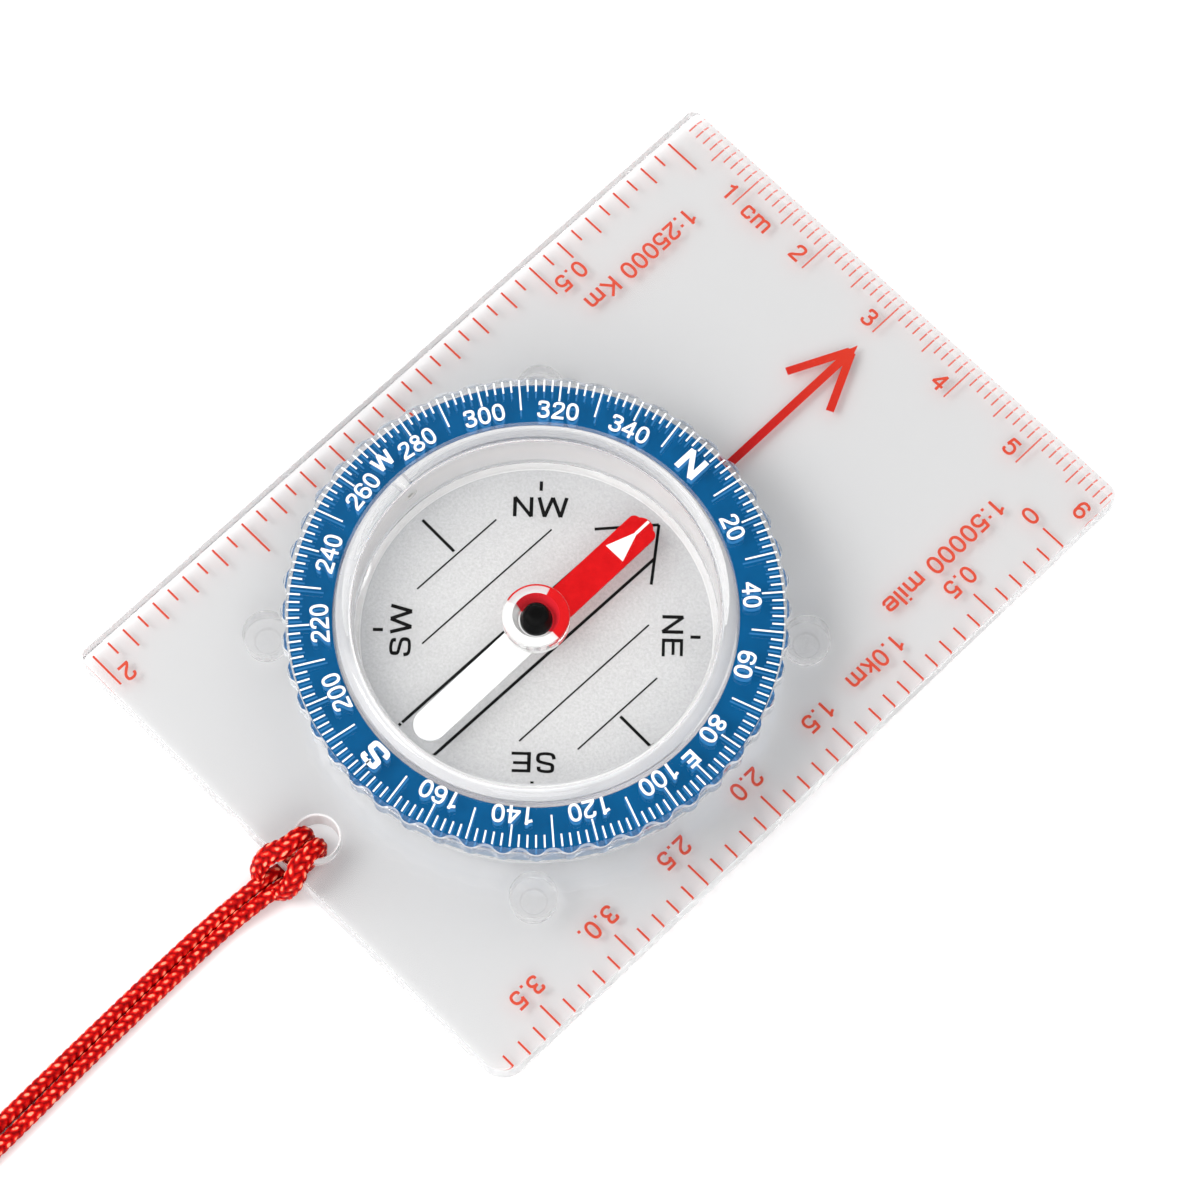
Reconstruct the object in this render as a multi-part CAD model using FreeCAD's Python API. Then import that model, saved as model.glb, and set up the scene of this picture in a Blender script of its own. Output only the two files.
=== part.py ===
import FreeCAD, Part
import math
import os

# Baseplate compass: a clear plate with map scales, a turning liquid capsule
# with a graduated bezel, a magnetic needle on a pivot and a cord lanyard.
# Millimetres, +Z up, +Y is the direction of travel, +X to the right of it.
# The origin is on the surface the compass rests on, under the plate's centre.

V = FreeCAD.Vector
os.makedirs("parts", exist_ok=True)

# ---------------------------------------------------------------- dimensions
# plate
PLATE_W = 60.0            # across
PLATE_L = 86.0            # along the direction of travel
PLATE_T = 3.0
FOOT_H = 1.0              # the feet hold the plate this far off a table
PLATE_Z0 = FOOT_H
PLATE_Z1 = PLATE_Z0 + PLATE_T
CORNER_R = {"fl": 0.8, "fr": 1.6, "rr": 2.6, "rl": 1.2}
FRONT_BEVEL_Y = 1.5       # the ruler edge slopes down to the paper
FRONT_BEVEL_Z = 1.3
EDGE_R = 0.22
DIAL_Y = -9.2             # dial axis, on the plate's centre line
LAN_Y = -38.9             # lanyard hole
LAN_R = 2.15
OPEN_R = 18.05            # dial opening, running fit on the capsule base
CBORE_R = 19.5            # underside recess for the retaining ring
CBORE_D = 1.2
GROOVE_R = 22.9           # drag ring groove in the top face
GROOVE_W = 1.0
GROOVE_D = 0.65
# feet
FOOT_OFF = 18.8           # each foot is this far from the dial axis in X and Y
FOOT_R = 2.3
FOOT_POCKET_R = 2.35
FOOT_POCKET_D = 2.6
FOOT_TIP_R = 1.25
FILM = 0.02               # adhesive film or seating gap between stacked flat faces
# drag ring
DRAG_D = 0.9
# dial
BEZ_Z0 = 4.3
BEZ_SEAM = 8.5
BEZ_Z1 = 11.0
BEZ_RI = 19.65
BEZ_R_LOW = 23.4
BEZ_R_SEAM = 24.1
SCALLOPS = 48
SCALLOP_PEAK = 24.75
SCALLOP_VALLEY = 24.2
SCALLOP_PHASE = 6.8       # degrees clockwise from +Y to a peak
BLUE_RI = 19.8
BLUE_RO = 24.05
BLUE_T = 0.75
# capsule
CAP_RO = 19.6
CAP_RI = 18.2
CAP_TOP = 11.3
CAP_CEIL = 10.1
CAP_EDGE = 1.3
FLOOR_Z = 4.4
WELL_Z = 3.75             # the printed floor lies in a shallow well
WELL_R = 17.5
FLANGE_R = 20.3
FLANGE_Z0 = 4.1
BOSS_R = 18.0
BOSS_Z0 = 2.1
POST_R = 1.1
POST_Z1 = 4.4
RET_RI = 16.4
RET_RO = 19.2
RET_Z0 = 1.3
PLUG_R = 0.8
PLUG_Z = 6.9
PLUG_AZ = 271.5           # clockwise from +Y
# needle
PIN_R = 0.35
PIN_Z0 = 2.9
PIN_Z1 = 8.4
NEEDLE_N = 15.65          # from the pivot to the north end
NEEDLE_S = 16.1           # and to the south end
NEEDLE_W = 3.35
NEEDLE_T = 0.25
NEEDLE_Z0 = 5.65
NEEDLE_DISC_R = 2.05
NEEDLE_TURN = 0.3
HUB_R = 3.3
HUB_Z1 = 8.9
HUB_BORE = 0.95
CAPN_R0 = 1.62
CAPN_R1 = 1.28
CAPN_Z0 = 7.44
CAPN_Z1 = 9.55
JEWEL_R = 0.7
JEWEL_Z0 = 8.2
JEWEL_Z1 = 8.9
# lanyard
CORD_D = 1.5
HITCH_Y1 = -46.4          # rear face of the hitch, where the two strands leave
COIL_C = (-10.35, -95.0)
COIL_R = (5.85, 11.85)
COIL_H = 6.0


# ------------------------------------------------------------------- helpers
def cyl(r, z0, z1, x=0.0, y=0.0):
    return Part.makeCylinder(r, z1 - z0, V(x, y, z0), V(0, 0, 1))


def ring(ri, ro, z0, z1, x=0.0, y=0.0):
    return cyl(ro, z0, z1, x, y).cut(cyl(ri, z0 - 1, z1 + 1, x, y))


def box(x0, x1, y0, y1, z0, z1):
    return Part.makeBox(x1 - x0, y1 - y0, z1 - z0, V(x0, y0, z0))


def revolve(pts, x=0.0, y=0.0):
    """Solid of revolution about a vertical axis from (radius, z) points.
    A point may be a tuple of two: (mid, end) makes an arc."""
    edges = []
    cur = V(pts[0][0], 0, pts[0][1])
    first = cur
    for p in pts[1:]:
        if isinstance(p[0], tuple):
            mid = V(p[0][0], 0, p[0][1])
            end = V(p[1][0], 0, p[1][1])
            edges.append(Part.Arc(cur, mid, end).toShape())
        else:
            end = V(p[0], 0, p[1])
            edges.append(Part.LineSegment(cur, end).toShape())
        cur = end
    if (cur - first).Length > 1e-7:
        edges.append(Part.LineSegment(cur, first).toShape())
    face = Part.Face(Part.Wire(edges))
    s = face.revolve(V(0, 0, 0), V(0, 0, 1), 360)
    s = Part.Solid(s.Shells[0]) if s.ShapeType != "Solid" else s
    s.translate(V(x, y, 0))
    return s


def az(deg, r):
    a = math.radians(deg)
    return r * math.sin(a), r * math.cos(a)


def turned(shape, deg):
    s = shape.copy()
    s.rotate(V(0, DIAL_Y, 0), V(0, 0, 1), deg)
    return s


def out(name, shape):
    if shape.ShapeType == "Compound":
        sol = shape.Solids
        shape = sol[0] if len(sol) == 1 else Part.makeCompound(sol)
    assert all(s.isValid() for s in shape.Solids), name
    shape.exportStep("parts/%s.step" % name)
    b = shape.optimalBoundingBox(False, False)
    print("%-22s solids %2d  vol %9.2f  x %7.2f %7.2f  y %8.2f %8.2f  z %6.2f %6.2f" % (
        name, len(shape.Solids), shape.Volume, b.XMin, b.XMax, b.YMin, b.YMax, b.ZMin, b.ZMax))


# --------------------------------------------------------------- clear plate
hx, hy = PLATE_W / 2, PLATE_L / 2
c = CORNER_R


def arc_corner(cx, cy, r, a0):
    pts = []
    for k in (0, 45, 90):
        a = math.radians(a0 + k)
        pts.append(V(cx + r * math.cos(a), cy + r * math.sin(a), PLATE_Z0))
    return pts


corners = [
    arc_corner(hx - c["fr"], hy - c["fr"], c["fr"], 0),
    arc_corner(-hx + c["fl"], hy - c["fl"], c["fl"], 90),
    arc_corner(-hx + c["rl"], -hy + c["rl"], c["rl"], 180),
    arc_corner(hx - c["rr"], -hy + c["rr"], c["rr"], 270),
]
edges = []
for i, p in enumerate(corners):
    edges.append(Part.Arc(p[0], p[1], p[2]).toShape())
    edges.append(Part.LineSegment(p[2], corners[(i + 1) % 4][0]).toShape())
plate = Part.Face(Part.Wire(edges)).extrude(V(0, 0, PLATE_T))
# rounded long outer edges of the top and bottom faces
outer = []
for e in plate.Edges:
    b = e.BoundBox
    if b.ZLength < 1e-6:
        outer.append(e)
plate = plate.makeFillet(EDGE_R, outer)
# ruler bevel along the front edge
wedge = Part.Face(Part.makePolygon([
    V(-hx - 2, hy - FRONT_BEVEL_Y, PLATE_Z1),
    V(-hx - 2, hy + 1.0, PLATE_Z1 - FRONT_BEVEL_Z * (FRONT_BEVEL_Y + 1.0) / FRONT_BEVEL_Y),
    V(-hx - 2, hy + 1.0, PLATE_Z1 + 1.0),
    V(-hx - 2, hy - FRONT_BEVEL_Y, PLATE_Z1 + 1.0),
    V(-hx - 2, hy - FRONT_BEVEL_Y, PLATE_Z1),
])).extrude(V(PLATE_W + 4, 0, 0))
plate = plate.cut(wedge)
# dial opening with its underside recess, and the drag ring's groove
plate = plate.cut(cyl(OPEN_R, 0, 8, 0, DIAL_Y))
plate = plate.cut(cyl(CBORE_R, PLATE_Z0 - 1, PLATE_Z0 + CBORE_D, 0, DIAL_Y))
plate = plate.cut(ring(GROOVE_R - GROOVE_W / 2, GROOVE_R + GROOVE_W / 2,
                       PLATE_Z1 - GROOVE_D, PLATE_Z1 + 1, 0, DIAL_Y))
# lanyard hole with rounded rims
plate = plate.cut(cyl(LAN_R, 0, 8, 0, LAN_Y))
rims = []
for e in plate.Edges:
    if e.Curve.TypeId == "Part::GeomCircle" and abs(e.Curve.Radius - LAN_R) < 1e-6 \
            and abs(e.Curve.Center.y - LAN_Y) < 1e-6 and e.Length > 1:
        rims.append(e)
plate = plate.makeFillet(0.25, rims)
# blind pockets for the feet
foot_xy = [(sx * FOOT_OFF, DIAL_Y + sy * FOOT_OFF) for sx in (-1, 1) for sy in (-1, 1)]
for fx, fy in foot_xy:
    plate = plate.cut(cyl(FOOT_POCKET_R, PLATE_Z0 - 1, PLATE_Z0 + FOOT_POCKET_D, fx, fy))
out("baseplate", plate)

# ---------------------------------------------------------------- grip feet
feet = []
for fx, fy in foot_xy:
    feet.append(revolve([
        (0, 0), (FOOT_TIP_R - 0.15, 0), ((FOOT_TIP_R - 0.04, 0.04), (FOOT_TIP_R, 0.15)),
        (FOOT_TIP_R + 0.15, 0.55), (FOOT_R - 0.1, 0.55), (FOOT_R, 0.65),
        (FOOT_R, PLATE_Z0 + FOOT_POCKET_D - FILM), (0, PLATE_Z0 + FOOT_POCKET_D - FILM)], fx, fy))
out("grip_feet", Part.makeCompound(feet))

# ---------------------------------------------------------------- drag ring
drag = Part.makeTorus(GROOVE_R, DRAG_D / 2, V(0, DIAL_Y, PLATE_Z1 - GROOVE_D + DRAG_D / 2), V(0, 0, 1))
out("drag_ring", drag)

# ------------------------------------------------------- bezel, clear and blue
step = 360.0 / SCALLOPS
pk = SCALLOP_PEAK
va = SCALLOP_VALLEY
mid = (pk + va) / 2
scal = []
for i in range(SCALLOPS):
    a0 = SCALLOP_PHASE + i * step
    p0 = az(a0 - step / 4, mid)
    p1 = az(a0, pk)
    p2 = az(a0 + step / 4, mid)
    p3 = az(a0 + step / 2, va)
    p4 = az(a0 + 3 * step / 4, mid)
    scal.append(Part.Arc(V(p0[0], p0[1], BEZ_SEAM), V(p1[0], p1[1], BEZ_SEAM), V(p2[0], p2[1], BEZ_SEAM)).toShape())
    scal.append(Part.Arc(V(p2[0], p2[1], BEZ_SEAM), V(p3[0], p3[1], BEZ_SEAM), V(p4[0], p4[1], BEZ_SEAM)).toShape())
bez = Part.Face(Part.Wire(scal)).extrude(V(0, 0, BEZ_Z1 - BEZ_SEAM))
# top outer edge drawn in slightly, as moulded
bez = bez.common(revolve([
    (0, BEZ_SEAM - 1), (SCALLOP_PEAK + 1, BEZ_SEAM - 1), (SCALLOP_PEAK + 1, BEZ_Z1 - 0.6),
    (SCALLOP_PEAK, BEZ_Z1 - 0.45), (SCALLOP_PEAK - 0.45, BEZ_Z1), (0, BEZ_Z1)]))
bez = bez.cut(cyl(BEZ_RI, 0, 20))
# recess for the blue ring in the underside of the clear ring
bez = bez.cut(ring(BLUE_RI - 0.05, BLUE_RO + 0.05, BEZ_SEAM - 1, BEZ_SEAM + BLUE_T + 2 * FILM))
bez.translate(V(0, DIAL_Y, 0))
out("bezel", bez)

out("scale_ring", ring(BLUE_RI, BLUE_RO, BEZ_SEAM, BEZ_SEAM + BLUE_T, 0, DIAL_Y))

# lower grip ring, a channel open downwards
out("bezel_skirt", revolve([
    (BEZ_RI, FLOOR_Z + FILM), (20.5, FLOOR_Z + FILM), (20.6, BEZ_SEAM - 0.8), (22.3, BEZ_SEAM - 0.8),
    (22.4, BEZ_Z0), (BEZ_R_LOW - 0.2, BEZ_Z0), (BEZ_R_LOW, BEZ_Z0 + 0.2),
    (BEZ_R_SEAM, BEZ_SEAM - FILM), (BEZ_RI, BEZ_SEAM - FILM)], 0, DIAL_Y))

# ------------------------------------------------------------------- capsule
k = CAP_EDGE
m = k * (1 - math.sqrt(0.5))
cover = revolve([
    (CAP_RI, FLOOR_Z + FILM), (CAP_RO, FLOOR_Z + FILM), (CAP_RO, CAP_TOP - k),
    ((CAP_RO - m, CAP_TOP - m), (CAP_RO - k, CAP_TOP)), (0, CAP_TOP), (0, CAP_CEIL),
    (CAP_RI - 0.6, CAP_CEIL), ((CAP_RI - 0.6 * (1 - math.sqrt(0.5)), CAP_CEIL - 0.6 * (1 - math.sqrt(0.5))),
                               (CAP_RI, CAP_CEIL - 0.6))], 0, DIAL_Y)
# filling hole through the wall, closed by its plug
px, py = az(PLUG_AZ, 1.0)
hole = Part.makeCylinder(PLUG_R, 4.0, V(px * (CAP_RI - 1), DIAL_Y + py * (CAP_RI - 1), PLUG_Z), V(px, py, 0))
cover = cover.cut(hole)
out("capsule_cover", cover)
plug = Part.makeCylinder(PLUG_R - 0.02, 1.25, V(px * (CAP_RI + 0.05), DIAL_Y + py * (CAP_RI + 0.05), PLUG_Z), V(px, py, 0))
plug = plug.cut(Part.makeCylinder(0.3, 0.5, V(px * (CAP_RI - 0.1), DIAL_Y + py * (CAP_RI - 0.1), PLUG_Z), V(px, py, 0)))
out("fill_plug", plug)

base = revolve([
    (0, BOSS_Z0), (BOSS_R, BOSS_Z0), (BOSS_R, FLANGE_Z0), (FLANGE_R, FLANGE_Z0), (FLANGE_R, FLOOR_Z),
    (WELL_R + 0.35, FLOOR_Z), (WELL_R, WELL_Z + 0.25), ((WELL_R - 0.07, WELL_Z + 0.07), (WELL_R - 0.25, WELL_Z)),
    (POST_R + 0.4, WELL_Z), (POST_R, WELL_Z + 0.4), (POST_R - 0.15, POST_Z1), (0, POST_Z1)], 0, DIAL_Y)
base = base.cut(cyl(PIN_R + 0.01, PIN_Z0 - FILM, 9, 0, DIAL_Y))
out("capsule_base", base)

out("retaining_ring", ring(RET_RI, RET_RO, RET_Z0, BOSS_Z0 - FILM, 0, DIAL_Y))

pin = revolve([
    (0, PIN_Z0), (PIN_R, PIN_Z0), (PIN_R, PIN_Z1 - 0.9), (0.06, PIN_Z1 - 0.02), (0, PIN_Z1)], 0, DIAL_Y)
out("pivot_pin", pin)

# -------------------------------------------------------------------- needle
hl = NEEDLE_N
hs = NEEDLE_S
hw = NEEDLE_W / 2
rn = 0.7                   # corner radius at the north end
nr = math.sqrt(0.5)
z = NEEDLE_Z0
N = []
N.append(Part.LineSegment(V(hw, -hs + hw, z), V(hw, hl - 0.45 - rn, z)).toShape())
N.append(Part.Arc(V(hw, hl - 0.45 - rn, z), V(hw - rn + rn * nr, hl - 0.45 - rn + rn * nr, z), V(hw - rn, hl - 0.45, z)).toShape())
N.append(Part.Arc(V(hw - rn, hl - 0.45, z), V(0, hl, z), V(-hw + rn, hl - 0.45, z)).toShape())
N.append(Part.Arc(V(-hw + rn, hl - 0.45, z), V(-hw + rn - rn * nr, hl - 0.45 - rn + rn * nr, z), V(-hw, hl - 0.45 - rn, z)).toShape())
N.append(Part.LineSegment(V(-hw, hl - 0.45 - rn, z), V(-hw, -hs + hw, z)).toShape())
N.append(Part.Arc(V(-hw, -hs + hw, z), V(0, -hs, z), V(hw, -hs + hw, z)).toShape())
blade = Part.Face(Part.Wire(N)).extrude(V(0, 0, NEEDLE_T))
blade = blade.fuse(cyl(NEEDLE_DISC_R, NEEDLE_Z0, NEEDLE_Z0 + NEEDLE_T)).removeSplitter()
blade = blade.cut(cyl(HUB_BORE + 0.35, 0, 9))
blade.translate(V(0, DIAL_Y, 0))
blade = turned(blade, NEEDLE_TURN)
out("needle_blade", blade)

zb = NEEDLE_Z0 + NEEDLE_T + FILM
hub = revolve([
    (HUB_BORE, NEEDLE_Z0 - 0.1), (HUB_BORE + 0.3, NEEDLE_Z0 - 0.1), (HUB_BORE + 0.3, zb),
    (2.3, zb), (2.4, zb + 1.1), (HUB_R - 0.1, zb + 1.1), (HUB_R, zb + 1.2), (HUB_R, HUB_Z1 - 0.12), (HUB_R - 0.12, HUB_Z1),
    (CAPN_R0 + 0.7, HUB_Z1), (CAPN_R0 + 0.12, CAPN_Z0 + 0.1), (CAPN_R0 + 0.05, CAPN_Z0 + 0.1),
    (CAPN_R0 + 0.05, CAPN_Z0 - FILM), (HUB_BORE, CAPN_Z0 - FILM)], 0, DIAL_Y)
out("needle_hub", hub)

capn = revolve([
    (HUB_BORE, CAPN_Z0), (CAPN_R0, CAPN_Z0), (CAPN_R0 - 0.03, CAPN_Z0 + 0.5), (CAPN_R1, CAPN_Z1 - 0.5),
    ((CAPN_R1 - 0.28, CAPN_Z1 - 0.14), (0.5, CAPN_Z1)), (0, CAPN_Z1), (0, JEWEL_Z1),
    (JEWEL_R + 0.02, JEWEL_Z1), (JEWEL_R + 0.02, JEWEL_Z0), (HUB_BORE, JEWEL_Z0)], 0, DIAL_Y)
out("bearing_cap", capn)

jewel = revolve([
    (0.5, JEWEL_Z0), (JEWEL_R, JEWEL_Z0), (JEWEL_R, JEWEL_Z1), (0, JEWEL_Z1), (0, PIN_Z1 + 0.06)], 0, DIAL_Y)
out("jewel_bearing", jewel)

# ------------------------------------------------------------------- lanyard
# the hitch: a loop of the cord round the strip between the hole and the edge
hitch = box(-2.5, 2.5, HITCH_Y1, LAN_Y + 1.35, PLATE_Z1, PLATE_Z1 + 1.7)
top_edges = [e for e in hitch.Edges if e.BoundBox.ZMin > PLATE_Z1 + 1.6]
hitch = hitch.makeFillet(0.7, top_edges)
hitch = hitch.fuse(cyl(1.85, 0.5, PLATE_Z1 + 0.5, 0, LAN_Y - 0.2))
hitch = hitch.fuse(box(-1.9, 1.9, HITCH_Y1, LAN_Y + 1.2, 0.08, PLATE_Z0))
hitch = hitch.fuse(box(-2.5, 2.5, HITCH_Y1, -hy, 0.08, PLATE_Z1 + 0.4))
hitch = hitch.removeSplitter()
out("lanyard_hitch", hitch)


def cord_tube(name, pts, d):
    """Straight runs joined by tangent arcs as large as the runs allow."""
    P = [V(*p) for p in pts]
    runs = [(P[i + 1] - P[i]).Length for i in range(len(P) - 1)]
    e = []
    start = P[0]
    length = 0.0
    for i in range(1, len(P) - 1):
        a = (P[i - 1] - P[i]).normalize()
        b = (P[i + 1] - P[i]).normalize()
        turn = math.pi - a.getAngle(b)
        t = 0.45 * min(runs[i - 1], runs[i])
        r = t / math.tan(turn / 2)
        q0 = P[i] + a * t
        q1 = P[i] + b * t
        bis = (a + b).normalize()
        cen = P[i] + bis * math.sqrt(r * r + t * t)
        qm = cen - bis * r
        e.append(Part.LineSegment(start, q0).toShape())
        e.append(Part.Arc(q0, qm, q1).toShape())
        length += (q0 - start).Length + r * turn
        print("   %s bend %d: turn %.1f deg, radius %.1f mm, runs %.1f / %.1f" % (
            name, i, math.degrees(turn), r, runs[i - 1], runs[i]))
        start = q1
    e.append(Part.LineSegment(start, P[-1]).toShape())
    length += (P[-1] - start).Length
    path = Part.Wire(e)
    t0 = (P[1] - P[0]).normalize()
    circ = Part.Wire([Part.Circle(P[0], t0, d / 2).toShape()])
    tube = path.makePipeShell([circ], True, False)
    want = math.pi * d * d / 4 * length
    print("   %s length %.2f mm, volume %.2f against %.2f" % (name, length, tube.Volume, want))
    out(name, tube)
    return length


zc = CORD_D / 2
STRAND_L = [(-1.00, HITCH_Y1, 1.62), (-1.70, -51.4, zc), (-1.62, -60.5, zc), (-1.44, -69.5, zc),
            (-1.16, -78.5, zc), (-0.98, -86.5, zc), (-0.75, -92.5, zc)]
STRAND_R = [(0.53, HITCH_Y1, 1.62), (-0.16, -51.4, zc), (-0.06, -60.5, zc), (0.15, -69.5, zc),
            (0.46, -78.5, zc), (0.68, -86.5, zc), (0.75, -92.5, zc)]
coil_solid = ring(COIL_R[0], COIL_R[1], 0.0, COIL_H, COIL_C[0], COIL_C[1])
coil_solid = coil_solid.makeFillet(0.7, [e for e in coil_solid.Edges
                                         if e.Curve.TypeId == "Part::GeomCircle" and e.Length > 1])
cord_tube("lanyard_strand_left", STRAND_L, CORD_D)
cord_tube("lanyard_strand_right", STRAND_R, CORD_D)
out("lanyard_coil", coil_solid)

# a short wrap of thin cord ties the coil
TIE_AZ = 200.0
ta = math.radians(TIE_AZ)
rm = (COIL_R[0] + COIL_R[1]) / 2
rw = (COIL_R[1] - COIL_R[0]) / 2
tie = box(-rw - 0.8, rw + 0.8, -1.1, 1.1, 0.0, COIL_H + 0.8)
tie = tie.makeFillet(0.6, [e for e in tie.Edges if abs(e.BoundBox.YLength - 2.2) < 1e-6
                           and e.BoundBox.ZMin > 1])
tie.rotate(V(0, 0, 0), V(0, 0, 1), TIE_AZ)
tie.translate(V(COIL_C[0] + rm * math.cos(ta), COIL_C[1] + rm * math.sin(ta), 0))
tie = tie.cut(coil_solid)
out("lanyard_coil_tie", tie)

# overhand knot that joins the two ends, beside the coil
KNOT_AZ = math.radians(235.0)
kx = COIL_C[0] + 14.05 * math.cos(KNOT_AZ)
ky = COIL_C[1] + 14.05 * math.sin(KNOT_AZ)
knot = Part.makeSphere(2.2, V(kx, ky, 2.2))
out("lanyard_end_knot", knot)
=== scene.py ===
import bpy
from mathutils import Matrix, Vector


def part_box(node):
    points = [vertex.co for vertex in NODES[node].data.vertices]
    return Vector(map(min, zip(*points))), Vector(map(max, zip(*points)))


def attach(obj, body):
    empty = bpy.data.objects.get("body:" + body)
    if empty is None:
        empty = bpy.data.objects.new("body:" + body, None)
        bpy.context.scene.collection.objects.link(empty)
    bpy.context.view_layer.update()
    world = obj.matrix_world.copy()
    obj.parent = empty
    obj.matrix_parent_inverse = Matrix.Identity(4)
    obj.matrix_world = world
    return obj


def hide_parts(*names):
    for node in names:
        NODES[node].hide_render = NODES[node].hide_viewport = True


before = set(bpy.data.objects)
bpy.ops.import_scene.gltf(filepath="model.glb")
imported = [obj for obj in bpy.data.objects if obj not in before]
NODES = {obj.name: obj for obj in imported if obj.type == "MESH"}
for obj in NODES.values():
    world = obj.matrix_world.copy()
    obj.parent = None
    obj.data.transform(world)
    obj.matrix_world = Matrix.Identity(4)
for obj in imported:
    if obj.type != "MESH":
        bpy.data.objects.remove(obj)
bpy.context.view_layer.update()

import math

import bmesh
import bpy
import numpy as np
from mathutils import Matrix, Vector

MM = 0.001
scene = bpy.context.scene
col = scene.collection
scene.view_settings.view_transform = "Standard"
scene.view_settings.look = "None"
scene.view_settings.exposure = 0.0
scene.view_settings.gamma = 1.0
scene.cycles.max_bounces = 40
scene.cycles.transmission_bounces = 40
scene.cycles.transparent_max_bounces = 64
scene.cycles.glossy_bounces = 32
scene.cycles.diffuse_bounces = 4

# plate, dial and cord positions, from the frame
PLATE_LO, PLATE_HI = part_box("baseplate")
BEZ_LO, BEZ_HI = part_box("bezel")
AX = (BEZ_LO.x + BEZ_HI.x) / 2
AY = (BEZ_LO.y + BEZ_HI.y) / 2
Z_UNDER = PLATE_LO.z
Z_TOP = PLATE_HI.z
Z_BEZ = BEZ_HI.z
Z_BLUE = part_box("scale_ring")[1].z
Z_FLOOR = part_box("capsule_base")[1].z - 0.65 * MM     # the capsule's floor, in its shallow well
RING_TURN = math.radians(0.28)                          # of the degree ring, clockwise from the travel line
FLOOR_TURN = math.radians(1.0)                          # of the print on the capsule's floor
NEEDLE_TURN = math.radians(-0.3)

# ------------------------------------------------------------------ camera
cam_data = bpy.data.cameras.new("camera")
cam_data.lens = 132.5
cam_data.sensor_width = 36.0
cam_data.clip_start = 0.01
cam_data.clip_end = 20
cam = bpy.data.objects.new("camera", cam_data)
col.objects.link(cam)
right = Vector((0.702, 0.7122, 0.0035)).normalized()
fwd = Vector((-0.2483, 0.2494, -0.936)).normalized()
right = (right - fwd * right.dot(fwd)).normalized()
up = right.cross(fwd).normalized()
M = Matrix.Identity(4)
for i in range(3):
    M[i][0], M[i][1], M[i][2] = right[i], up[i], -fwd[i]
M[0][3], M[1][3], M[2][3] = 109.86 * MM, -110.78 * MM, 411.28 * MM
cam.matrix_world = M
scene.camera = cam


# ----------------------------------------------------------------- helpers
def new_obj(name, mesh):
    o = bpy.data.objects.new(name, mesh)
    col.objects.link(o)
    return o


def mesh_from(name, verts, faces, smooth=False):
    me = bpy.data.meshes.new(name)
    me.from_pydata([tuple(map(float, v)) for v in verts], [], faces)
    me.validate()
    me.update()
    if smooth:
        me.polygons.foreach_set("use_smooth", [True] * len(me.polygons))
    return new_obj(name, me)


def nt(mat):
    mat.use_nodes = True
    t = mat.node_tree
    t.nodes.clear()
    return t


class Nodes:
    """Small shorthand for building node trees."""

    def __init__(self, name):
        self.mat = bpy.data.materials.new(name)
        self.t = nt(self.mat)
        self.out = self.t.nodes.new("ShaderNodeOutputMaterial")

    def new(self, kind, **kw):
        n = self.t.nodes.new("ShaderNode" + kind)
        for k, v in kw.items():
            setattr(n, k, v)
        return n

    def link(self, a, b):
        self.t.links.new(a, b)

    def principled(self, **kw):
        n = self.new("BsdfPrincipled")
        for k, v in kw.items():
            n.inputs[k].default_value = v
        return n

    def coords(self, which="Object"):
        return self.new("TexCoord").outputs[which]

    def noise(self, scale, detail=2.0, rough=0.5, vec=None, dist=0.0):
        n = self.new("TexNoise")
        n.inputs["Scale"].default_value = scale
        n.inputs["Detail"].default_value = detail
        n.inputs["Roughness"].default_value = rough
        n.inputs["Distortion"].default_value = dist
        self.link(vec if vec is not None else self.coords(), n.inputs["Vector"])
        return n.outputs["Fac"]

    def ramp(self, fac, stops):
        n = self.new("ValToRGB")
        e = n.color_ramp.elements
        while len(e) > 1:
            e.remove(e[-1])
        e[0].position, e[0].color = stops[0][0], stops[0][1]
        for p, c in stops[1:]:
            x = e.new(p)
            x.color = c
        self.link(fac, n.inputs["Fac"])
        return n.outputs["Color"]

    def math(self, op, a, b=None, clamp=False):
        n = self.new("Math", operation=op, use_clamp=clamp)
        for i, v in enumerate((a, b)):
            if v is None:
                continue
            if isinstance(v, (int, float)):
                n.inputs[i].default_value = v
            else:
                self.link(v, n.inputs[i])
        return n.outputs[0]

    def bump(self, height, strength=0.2, distance=0.0001, normal=None):
        n = self.new("Bump")
        n.inputs["Strength"].default_value = strength
        n.inputs["Distance"].default_value = distance
        self.link(height, n.inputs["Height"])
        if normal is not None:
            self.link(normal, n.inputs["Normal"])
        return n.outputs["Normal"]

    def finish(self, shader):
        self.link(shader, self.out.inputs["Surface"])
        return self.mat


def c4(r, g, b, a=1.0):
    return (r, g, b, a)


def srgb(r, g, b):
    def f(v):
        v /= 255.0
        return v / 12.92 if v <= 0.04045 else ((v + 0.055) / 1.055) ** 2.4
    return (f(r), f(g), f(b), 1.0)


# --------------------------------------------------------------- materials
def polar(k, co, turn=0.0, centre=None):
    """Radius from an upright axis in mm, the dial's unless 'centre' names another, and the angle in degrees clockwise from
    north, turned by 'turn'."""
    cx, cy = centre or (AX, AY)
    sep = k.new("SeparateXYZ")
    k.link(co, sep.inputs[0])
    dx = k.math("MULTIPLY", k.math("SUBTRACT", sep.outputs["X"], cx), 1 / MM)
    dy = k.math("MULTIPLY", k.math("SUBTRACT", sep.outputs["Y"], cy), 1 / MM)
    r = k.math("SQRT", k.math("ADD", k.math("MULTIPLY", dx, dx), k.math("MULTIPLY", dy, dy)))
    az = k.math("SUBTRACT", k.math("MULTIPLY", k.math("ARCTAN2", dx, dy), 180 / math.pi), turn)
    return r, az, sep.outputs["Z"], dx, dy


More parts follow.
